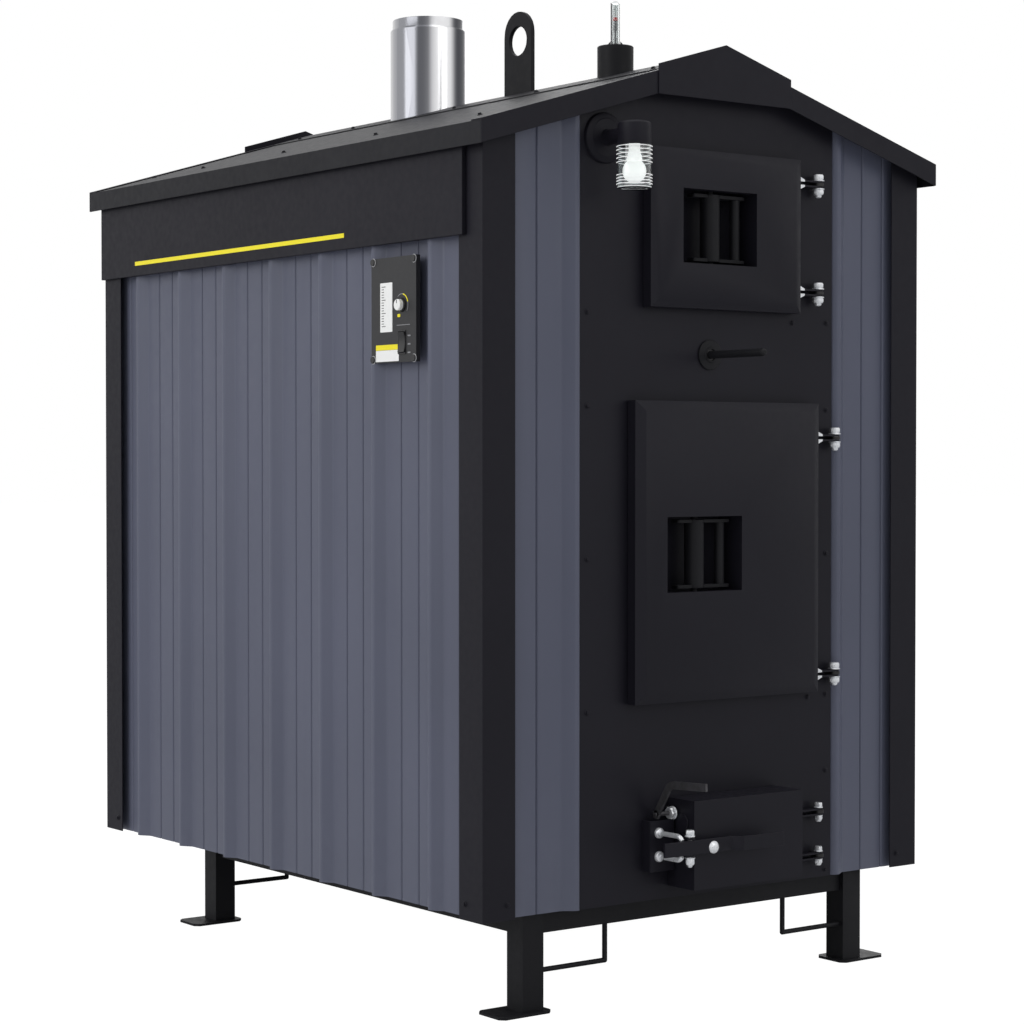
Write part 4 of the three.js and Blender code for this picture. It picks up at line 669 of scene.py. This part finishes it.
def keeperProng(z, toward):
    # a rod out of its nut that turns a little toward the bar at its tip
    x, end = keeper["prongX"], keeper["end"]
    path = roundCorners([(x, keeper["back"], z), (x + 2, end + 8, z), (x + 4, end - 1, z + toward * 9)], 8, 6)
    size = np.full(len(path), keeper["radius"])
    size[-1] = keeper["radius"] * 0.8
    nutLine = [(0, -909), (6, -909), (10.5, -907.5), (12.2, -904.5), (12.2, -900.1), (0, -900.1)]
    return joinParts([tube(path, size, (1, 0, 0), 20), turned(nutLine, "y", (x, 0, z), 40, False)])


addPiece("keeper_prongs", joinParts([keeperProng(z, t) for z, t in zip(keeper["prongs"], (-1, 1))]), zinc, sharp=40)

lever = {"y": -897.0, "z": 428.0, "left": -193.0, "bar": 6.0, "half": 9.0, "ring": 11.0, "shaft": 5.0, "inner": -120.5,
         "elbow": (-943.0, 500.0), "tip": (-1069.0, 507.0), "flapY": -925.0, "flapZ": 408.0, "flap": 21.0}
spine = roundCorners([(lever["y"], lever["z"]), lever["elbow"], lever["tip"]], 14, 6)
along = np.gradient(spine, axis=0)
along /= np.linalg.norm(along, axis=1, keepdims=True)
across = np.stack([-along[:, 1], along[:, 0]], -1) * lever["half"]
barOutline = np.concatenate([spine + across, (spine - across)[::-1]])
addPiece("air_lever_bar", joinParts([
    prism(barOutline, "x", lever["left"], lever["left"] + lever["bar"]),
    disc(lever["y"], lever["z"], lever["ring"], lever["left"], lever["left"] + lever["bar"], "x"),
    disc(lever["y"], lever["z"], lever["shaft"], lever["left"] - 2, lever["inner"], "x")]),
    leverSteel, "draft_lever", ["draft_lever"], 0.8)
addPiece("air_lever_flap", disc(lever["flapY"], lever["flapZ"], lever["flap"], -139.4, -136.4, "x"), blackCoat,
         "draft_lever", bevel=0.6)
nutLine = [(0, -155), (12.5, -155), (15.2, -152), (15.2, -146), (12.5, -144), (0, -144)]
addPiece("air_lever_nut", joinParts([
    hexed(nutLine, 13.2, "x", (0, lever["y"], lever["z"])),
    disc(lever["y"], lever["z"], 15.6, -144.2, -141.2, "x")]), zinc, "draft_lever", sharp=28)

# Bypass rod between the doors.

bypass = {"x": -10.0, "z": 1480.0, "rod": 9.0}
rodPath = [(bypass["x"], y, bypass["z"]) for y in (-1060.6, -1058.5, -1054.0, 90.0)]
addPiece("bypass_pull_rod", joinParts([
    tube(rodPath, [5.0, 7.5, bypass["rod"], bypass["rod"]], (0, 0, 1), 32),
    box(-90, 90, 60, 230, 1516.5, 1523.5), box(-18, -2, 80, 100, 1476, 1517)]),
    castBlack, "bypass_rod", ["bypass_rod"], 0.5)
flangeLine = [(13.2, -874.7), (13.8, -878.0), (17.5, -878.0), (19.0, -876.2), (33.5, -875.6), (35.0, -874.4),
              (35.0, -870.4), (13.2, -870.4)]
addPiece("bypass_flange", turned(flangeLine, "y", (bypass["x"], 0, bypass["z"]), 56), castBlack)
print("front fittings made")

# Chimney, vent, gauge.

pipe = {"y": 290.0, "foot": 1985.5, "radius": 101.3, "bore": 98.7, "shoulder": 2392.0, "neck": 95.8, "neckBore": 92.9,
        "top": 2417.9, "seamFoot": 2000.0, "seamTop": 2385.0, "seamTurn": 112.0}
outside, bore, shoulder, neck = pipe["radius"], pipe["bore"], pipe["shoulder"], pipe["neck"]
chimneyLine = [(bore, pipe["foot"]), (outside, pipe["foot"]), (outside, shoulder - 6), (outside + 0.1, shoulder - 4),
               (outside - 0.5, shoulder - 1.5), (outside - 2.5, shoulder), (neck + 0.7, shoulder + 0.6),
               (neck, shoulder + 2), (neck, pipe["top"] - 1.5), (neck - 0.4, pipe["top"] - 0.2),
               (neck - 1.4, pipe["top"]), (neck - 2.6, pipe["top"]), (pipe["neckBore"], pipe["top"] - 1.4),
               (pipe["neckBore"], shoulder + 1), (bore - 3, shoulder - 1), (bore, shoulder - 5)]
addPiece("chimney_pipe", turned(chimneyLine, "z", (0, pipe["y"], 0), 128), stainless, replaced=["chimney"], sharp=40)
seamLine = [(-1.6, outside - 0.75), (-1.2, outside + 0.15), (1.2, outside + 0.15), (1.6, outside - 0.75)]
seam = prism(seamLine, "z", pipe["seamFoot"], pipe["seamTop"])
addPiece("chimney_seam", spun(seam, pipe["seamTurn"], pipe["y"]), stainless)

vent = {"y": -511.0, "foot": 1985.5, "bore": 40.0, "radius": 44.2, "cap": 44.3, "top": 2239.0, "capTop": 2242.8}
onVent = (0, vent["y"], 0)
scaleTurn = -36.658  # the scale stands behind the tube, square to a person at the controls
ventLine = [(vent["bore"], vent["foot"]), (vent["radius"], vent["foot"]), (vent["radius"], 2228), (vent["cap"], 2229),
            (vent["cap"], 2241), (vent["cap"] - 1.5, vent["capTop"]), (9.0, vent["capTop"]), (7.0, 2242),
            (7.0, vent["top"]), (vent["bore"], vent["top"] - 0.5)]
collarLine = [(8.9, 2242.5), (12.5, 2242.5), (12.5, 2247), (11, 2249), (8.9, 2249.5)]
tabs = [prism([(s * 12, 2242), (s * 23, 2242), (s * 21, 2246), (s * 12, 2256)], "y", -2, 2) for s in (-1, 1)]
addPiece("vent_stack", joinParts([turned(ventLine, "z", onVent, 72), turned(collarLine, "z", onVent, 40)]
                                 + [spun(tab, scaleTurn, vent["y"]) for tab in tabs]),
         castBlack, replaced=["vent_pipe"], sharp=30)
gaugeLine = [(7.1, 2243.5), (8.5, 2243.5), (8.5, 2346), (7.8, 2350), (6, 2351.6), (0, 2352), (0, 2349.5), (5.4, 2349),
             (6.8, 2346.5), (7.1, 2342)]
addPiece("gauge_glass", turned(gaugeLine, "z", onVent, 40), jarGlass, replaced=["gauge_tube"], sharp=60)
floatLine = [(0, 1905), (20, 1905), (27, 1907.5), (30, 1914), (30, 1936), (27, 1942.5), (20, 1945), (2.5, 1945),
             (2.4, 2281), (4.6, 2284), (4.6, 2306), (0, 2306)]
markerLine = [(0, 2306), (5.5, 2306), (5.6, 2307), (5.6, 2312), (5.0, 2313.5), (0, 2314)]
addPiece("level_float", turned(floatLine, "z", onVent, 40, False), darkPlastic, "float_rod", ["float_rod"], sharp=40)
addPiece("level_marker", turned(markerLine, "z", onVent, 40, False), redPlastic, "float_rod", sharp=40)
card = box(-9, 11, 9.0, 10.4, 2243, 2349)
cardEdge = joinParts([box(-11.2, -9, 7.8, 11.0, 2243, 2351), box(5.5, 6.9, 8.3, 9.0, 2243, 2300)])
gaugeTicks = [box(-8 + (0 if n % 4 else -0.6), -4.5 + (3 if n % 4 == 0 else 0), 8.7, 9.05, z - 0.45, z + 0.45)
              for n, z in enumerate(np.arange(2262, 2346, 4.5))]
addPiece("gauge_card", spun(card, scaleTurn, vent["y"]), whitePlastic, bevel=0.3)
addPiece("gauge_edge", spun(cardEdge, scaleTurn, vent["y"]), darkPlastic, bevel=0.3)
addPiece("gauge_ticks", spun(joinParts(gaugeTicks), scaleTurn, vent["y"]), greyPrint)
print("roof fittings made")

# Lamp.

lamp = {"x": -324.0, "y": -977.0, "z": 1958.0, "foot": 1833.1, "jar": 38.6, "wall": 1.6, "ring": 0.85,
        "rings": (1838.5, 1845, 1851.5, 1858, 1865, 1893, 1902, 1911, 1920, 1928), "bulb": 26.5, "bulbZ": 1874.0}
at = (lamp["x"], lamp["y"], 0)
onWall = (lamp["x"], 0, lamp["z"])
plateLine = [(0, -870.5), (57.3, -870.5), (57.3, -873.5), (55, -877.5), (47, -880.5), (44, -881), (42, -882.3),
             (0, -882.3)]
headLine = [(0, 1983), (30, 1983), (34.5, 1981.8), (37, 1978.5), (37.5, 1973), (37.5, 1934), (36.8, 1931.2),
            (33, 1931), (33, 1936), (16, 1938), (16, 1945), (0, 1945)]
armLine = [(0, -882), (19, -882), (17.3, -886), (17, -890), (17, -976), (0, -976)]
addPiece("lamp_holder", joinParts([
    turned(plateLine, "y", onWall, 72, False), turned(armLine, "y", onWall, 40, False),
    turned(headLine, "z", at, 72, False)]), trimCoat, replaced=["lamp_base"], sharp=30)
outer = [(0, lamp["foot"]), (24, 1833.2), (31, 1834), (35.5, 1835.5), (38, 1838), (lamp["jar"], 1842),
         (lamp["jar"], 1930.6)]
inner = [(r - lamp["wall"], z + (lamp["wall"] if r < 38 else 0)) for r, z in outer[:0:-1]]
inner.append((0, lamp["foot"] + lamp["wall"]))
addPiece("lamp_jar", turned(outer + inner, "z", at, 96, False), jarGlass, replaced=["lamp_glass"], sharp=70)


def highlightRing(z):
    # a fine pressed ring, white and glowing as a painted highlight: a circle of 72 points seated on the jar
    a = np.linspace(0, 2 * np.pi, 72, endpoint=False)
    radius = lamp["jar"] + 0.6 if z > 1840 else 36.6
    path = np.stack([lamp["x"] + radius * np.cos(a), lamp["y"] + radius * np.sin(a), np.full(72, z)], -1)
    return tube(path, lamp["ring"], (0, 0, 1), 8, True)


addPiece("lamp_jar_rings", joinParts([highlightRing(z) for z in lamp["rings"]]), ringHighlightGlass, sharp=80)
t = np.linspace(-np.pi / 2, np.pi * 0.3, 22)
globe = list(zip(lamp["bulb"] * np.cos(t), lamp["bulbZ"] + lamp["bulb"] * np.sin(t)))
globe[0] = (0, lamp["bulbZ"] - lamp["bulb"])
bulbLine = globe + [(17.5, 1899.5), (15.2, 1907), (13.6, 1915), (12.9, 1922), (12.9, 1943.5), (0, 1943.5)]
addPiece("lamp_bulb_opal", turned(bulbLine, "z", at, 64, False), bulbGlass, replaced=["lamp_bulb"], sharp=70)
print("lamp made")

# Controls on the left wall.

controls = {"face": -674.75, "dialY": -579.0, "dialZ": 1586.0, "rockerY": -580.0, "rockerZ": 1502.0, "rockerHalf": 22.5}
face = controls["face"]


def flatMark(y0, y1, z0, z1, corner=1.0, lift=0.5):
    # a thin printed or stuck-on area with rounded corners on the plate
    return softBox(y0, y1, z0, z1, corner, "x", face - lift, face + 0.05, 4)


def arcMark(radius, width, start, end, lift=0.45):
    # part of a ring round the dial, angles counted from straight up towards the front
    t = np.radians(np.linspace(start, end, 25))
    ring = [np.stack([controls["dialY"] - k * np.sin(t), controls["dialZ"] + k * np.cos(t)], -1)
            for k in (radius - width / 2, radius + width / 2)]
    return prism(np.concatenate([ring[0], ring[1][::-1]]), "x", face - lift, face + 0.05)


addPiece("display_strip", flatMark(-541, -492, 1527, 1639, 2.0), whitePrint)
ticks = [flatMark(-498 - (9 if n % 5 else 16), -498, z - 0.7, z + 0.7, 0.3, 0.9)
         for n, z in enumerate(np.arange(1540, 1631, 6))]
addPiece("display_scale", joinParts(ticks), blackPlastic)
addPiece("label_white", flatMark(-567, -474, 1460, 1485.5), whitePrint)
addPiece("label_yellow", flatMark(-567, -474, 1486, 1498), yellowPrint)
addPiece("dial_arc_grey", joinParts([arcMark(25, 1.6, -40, 12), arcMark(25, 1.6, 75, 125)]), greyPrint)
addPiece("dial_arc_yellow", joinParts([arcMark(25, 2.6, 12, 75), flatMark(-573, -562, 1559, 1566, 2)]), yellowPrint)
marks = [flatMark(-614, -603, z - 1.6, z + 1.6, 0.8) for z in (1478, 1497, 1516)]
addPiece("rocker_marks", joinParts(marks + [flatMark(-612, -559, 1540, 1541.6, 0.6)]), greyPrint)
knobs = [(y, z) for y in (-628, -463) for z in (1465, 1688)]
addPiece("panel_rims", joinParts([disc(y, z, 9.6, face - 0.8, face + 0.05, "x", 0.3) for y, z in knobs]), rimPrint)
addPiece("panel_knobs", joinParts([disc(y, z, 8.2, face - 4, face, "x", 1.2) for y, z in knobs]), blackPlastic)

onDial = (0, controls["dialY"], controls["dialZ"])
skirtLine = [(0, face + 7), (3, face + 7), (3, face - 0.3), (16, face - 0.3), (16, face - 2), (14.5, face - 5),
             (0, face - 5)]
capLine = [(12.9, face - 4.5), (12.8, face - 13), (11.6, face - 14.2), (0, face - 14.3), (0, face - 4.5)]
pointer = box(face - 14.9, face - 14.2, controls["dialY"] - 1, controls["dialY"] + 1, controls["dialZ"] + 3,
              controls["dialZ"] + 11.5)
addPiece("dial_skirt", turned(skirtLine, "x", onDial, 64, False), blackPlastic, "dial_knob", ["dial_knob"], sharp=30)
addPiece("dial_cap", turned(capLine, "x", onDial, 48), whitePlastic, "dial_knob", sharp=30)
addPiece("dial_pointer", pointer, blackPlastic, "dial_knob", bevel=0.2)

rockerY, rockerZ, reach = controls["rockerY"], controls["rockerZ"], controls["rockerHalf"]
half = np.linspace(-reach, reach, 31)
hollow = face - 5 + 3 * (1 - (half / reach) ** 2)  # the pressed face is a shallow parabola
rockerLine = np.concatenate([np.stack([hollow, rockerZ + half], -1),
                             [(face, rockerZ + reach), (face + 5, rockerZ + 8), (face + 5, rockerZ - 8),
                              (face, rockerZ - reach)]])
addPiece("rocker_cap", prism(rockerLine, "y", rockerY - 12.5, rockerY + 12.5), blackPlastic, "rocker_switch",
         ["rocker_switch"], 0.6)


def rockerRim(halfY, halfZ, corner):
    # a rounded rectangle about the rocker's middle
    y0, y1, z0, z1 = rockerY - halfY, rockerY + halfY, rockerZ - halfZ, rockerZ + halfZ
    return roundCorners([(y0, z0), (y1, z0), (y1, z1), (y0, z1)], corner, 4, True)


rimOuter, rimInner = rockerRim(15, 27, 3), rockerRim(13.3, 24.6, 1)
n = len(rimOuter)
ringPoints = np.stack([np.column_stack([np.full(n, x), rim]) for x, rim in
                       ((face, rimOuter), (face - 2, rimOuter), (face - 2, rimInner), (face, rimInner))], 1)
addPiece("rocker_frame", (ringPoints.reshape(-1, 3), gridFaces(n, 4, True, True)), blackPlastic)
stripe = {"x": -678.8, "y0": -345.0, "y1": 683.0, "z0": 1754.0, "z1": 1764.5}
addPiece("band_stripe", softBox(stripe["y0"], stripe["y1"], stripe["z0"], stripe["z1"], 0.5, "x",
                                stripe["x"] - 0.4, stripe["x"] + 0.1), yellowPrint)
print("controls made")

# Painted hex screws with washers.

screwSize = {"washer": 7.0, "head": 4.3, "tall": 5.5}


def screws(places, normals):
    # one small head copied to every place and turned to its surface's direction
    s = screwSize
    line = [(0, 0), (s["washer"], 0), (s["washer"], 0.9), (s["head"] + 0.9, 1.8), (s["head"] + 0.6, 2.4),
            (s["head"], 2.5), (s["head"], s["tall"] - 0.7), (s["head"] - 1, s["tall"]), (0, s["tall"])]
    points, faces = turned(line, "z", (0, 0, 0), 12, False)
    normals = np.asarray(normals, float) / np.linalg.norm(normals, axis=1, keepdims=True)
    side = np.cross(normals, (0.13, 0.31, 0.94))
    side /= np.linalg.norm(side, axis=1, keepdims=True)
    lift = np.cross(normals, side)
    turnedTo = np.stack([side, lift, normals], 1)  # rows are the head's own axes
    placed = np.einsum("vi,nij->nvj", points, turnedTo) + np.asarray(places, float)[:, None]
    return joinParts([(p, faces) for p in placed])


panelScrews = [(-372, z) for z in (1567, 1357, 1013, 669)] + [(364, z) for z in (1567, 1357, 1011, 670, 485, 244)]
panelScrews += [(252, 1563), (304, 666)]
panelPlaces = [(x, house["panelFace"], z) for x, z in panelScrews]
addPiece("panel_screws", screws(panelPlaces, [(0, -1, 0)] * len(panelPlaces)), blackCoat, sharp=30)
trimScrew = {"y": 812, "x": 600, "z": 262}
trimPlaces, trimNormals = [], []
for sx, sy in ((-1, -1), (-1, 1), (1, -1), (1, 1)):
    trimPlaces += [(sx * house["xWall"], sy * trimScrew["y"], trimScrew["z"]),
                   (sx * trimScrew["x"], sy * house["yWall"], trimScrew["z"])]
    trimNormals += [(sx, 0, 0), (0, sy, 0)]
addPiece("trim_screws", screws(trimPlaces, trimNormals), trimCoat, sharp=30)
roofPlaces = [(sx * 540.0, y, float(roofTop(540))) for sx in (-1, 1) for y in (-694, -270, 150, 560, 830)]
roofPlaces += [(sx * 105.0, y, float(roofTop(105)) + 3.4) for sx in (-1, 1) for y in (-780, -330, 20, 500, 777)]
roofNormals = [(np.sign(p[0]) * house["rise"], 0, 1) for p in roofPlaces]
addPiece("roof_screws", screws(roofPlaces, roofNormals), roofCoat, sharp=30)
print("screws made")

# Camera, light and floor.

view = {"x": -3777.5, "y": -5164.5, "z": 1233.7, "turn": 36.658, "down": 1.193, "lens": 86.05}
cameraData = bpy.data.cameras.new("camera")
cameraData.lens, cameraData.sensor_width, cameraData.clip_end = view["lens"], 36.0, 200.0
camera = bpy.data.objects.new("camera", cameraData)
camera.location = (view["x"] * 0.001, (view["y"] + house["shiftY"]) * 0.001, view["z"] * 0.001)
camera.rotation_euler = (np.radians(90 - view["down"]), 0, -np.radians(view["turn"]))
bpy.context.scene.collection.objects.link(camera)
bpy.context.scene.camera = camera

# places and sizes in metres, powers in watts
lights = {
    "side": {"place": (-7.6, 0.6, 4.2), "size": 5.0, "power": 190},
    "front": {"place": (1.5, -8.0, 3.6), "size": 4.0, "power": 52},
    "top": {"place": (-1.0, -1.0, 7.5), "size": 6.0, "power": 120},
    "rear": {"place": (5.5, 5.0, 4.5), "size": 4.0, "power": 90},
}
studio = {"aim": (0, 0, 1.1), "ambient": 0.43, "floorReach": 60, "matte": 0.9, "glow": 1.16, "share": 0.86}
for name, values in lights.items():
    data = bpy.data.lights.new(name + "_light", "AREA")
    data.size, data.energy = values["size"], values["power"]
    lampObject = bpy.data.objects.new(name + "_light", data)
    lampObject.location = values["place"]
    toward = np.array(studio["aim"]) - np.array(values["place"])
    flat = np.hypot(toward[0], toward[1])
    lampObject.rotation_euler = (np.arctan2(flat, -toward[2]), 0, np.arctan2(-toward[0], toward[1]))
    bpy.context.scene.collection.objects.link(lampObject)

world = bpy.data.worlds.new("studio")
bpy.context.scene.world = world
world.use_nodes = True
tree = world.node_tree
tree.nodes.clear()
path = addNode(tree, "ShaderNodeLightPath")
seen = addNode(tree, "ShaderNodeMath", {"operation": "MAXIMUM"},
               {0: path.outputs["Is Camera Ray"], 1: path.outputs["Is Transmission Ray"]}).outputs[0]
seen = addNode(tree, "ShaderNodeMath", {"operation": "MAXIMUM"}, {0: seen, 1: path.outputs["Is Glossy Ray"]}).outputs[0]
ambient = addNode(tree, "ShaderNodeBackground", {"Color": (0.95, 0.97, 1.0, 1), "Strength": studio["ambient"]})
white = addNode(tree, "ShaderNodeBackground", {"Color": (1, 1, 1, 1), "Strength": 1.0})
mixed = addNode(tree, "ShaderNodeMixShader", links={0: seen, 1: ambient.outputs[0], 2: white.outputs[0]})
addNode(tree, "ShaderNodeOutputWorld", links={"Surface": mixed.outputs[0]})

floorMesh = bpy.data.meshes.new("floor")
reach = studio["floorReach"]
floorCorners = [(-reach, -reach, 0), (reach, -reach, 0), (reach, reach, 0), (-reach, reach, 0)]
floorMesh.from_pydata(floorCorners, [], [(0, 1, 2, 3)])
floor = bpy.data.objects.new("floor", floorMesh)
bpy.context.scene.collection.objects.link(floor)
paper = bpy.data.materials.new("pale_floor")
paper.use_nodes = True
tree = paper.node_tree
tree.nodes.clear()
path = addNode(tree, "ShaderNodeLightPath")
matte = addNode(tree, "ShaderNodeBsdfDiffuse", {"Color": (studio["matte"],) * 3 + (1,)})
glow = addNode(tree, "ShaderNodeEmission", {"Color": (1, 1, 1, 1), "Strength": studio["glow"]})
share = addNode(tree, "ShaderNodeMath", {"operation": "MULTIPLY", 1: studio["share"]},
                {0: path.outputs["Is Camera Ray"]}).outputs[0]
mixed = addNode(tree, "ShaderNodeMixShader", links={0: share, 1: matte.outputs[0], 2: glow.outputs[0]})
addNode(tree, "ShaderNodeOutputMaterial", links={"Surface": mixed.outputs[0]})
floorMesh.materials.append(paper)
bpy.context.scene.view_settings.view_transform = "Standard"
print("studio set")
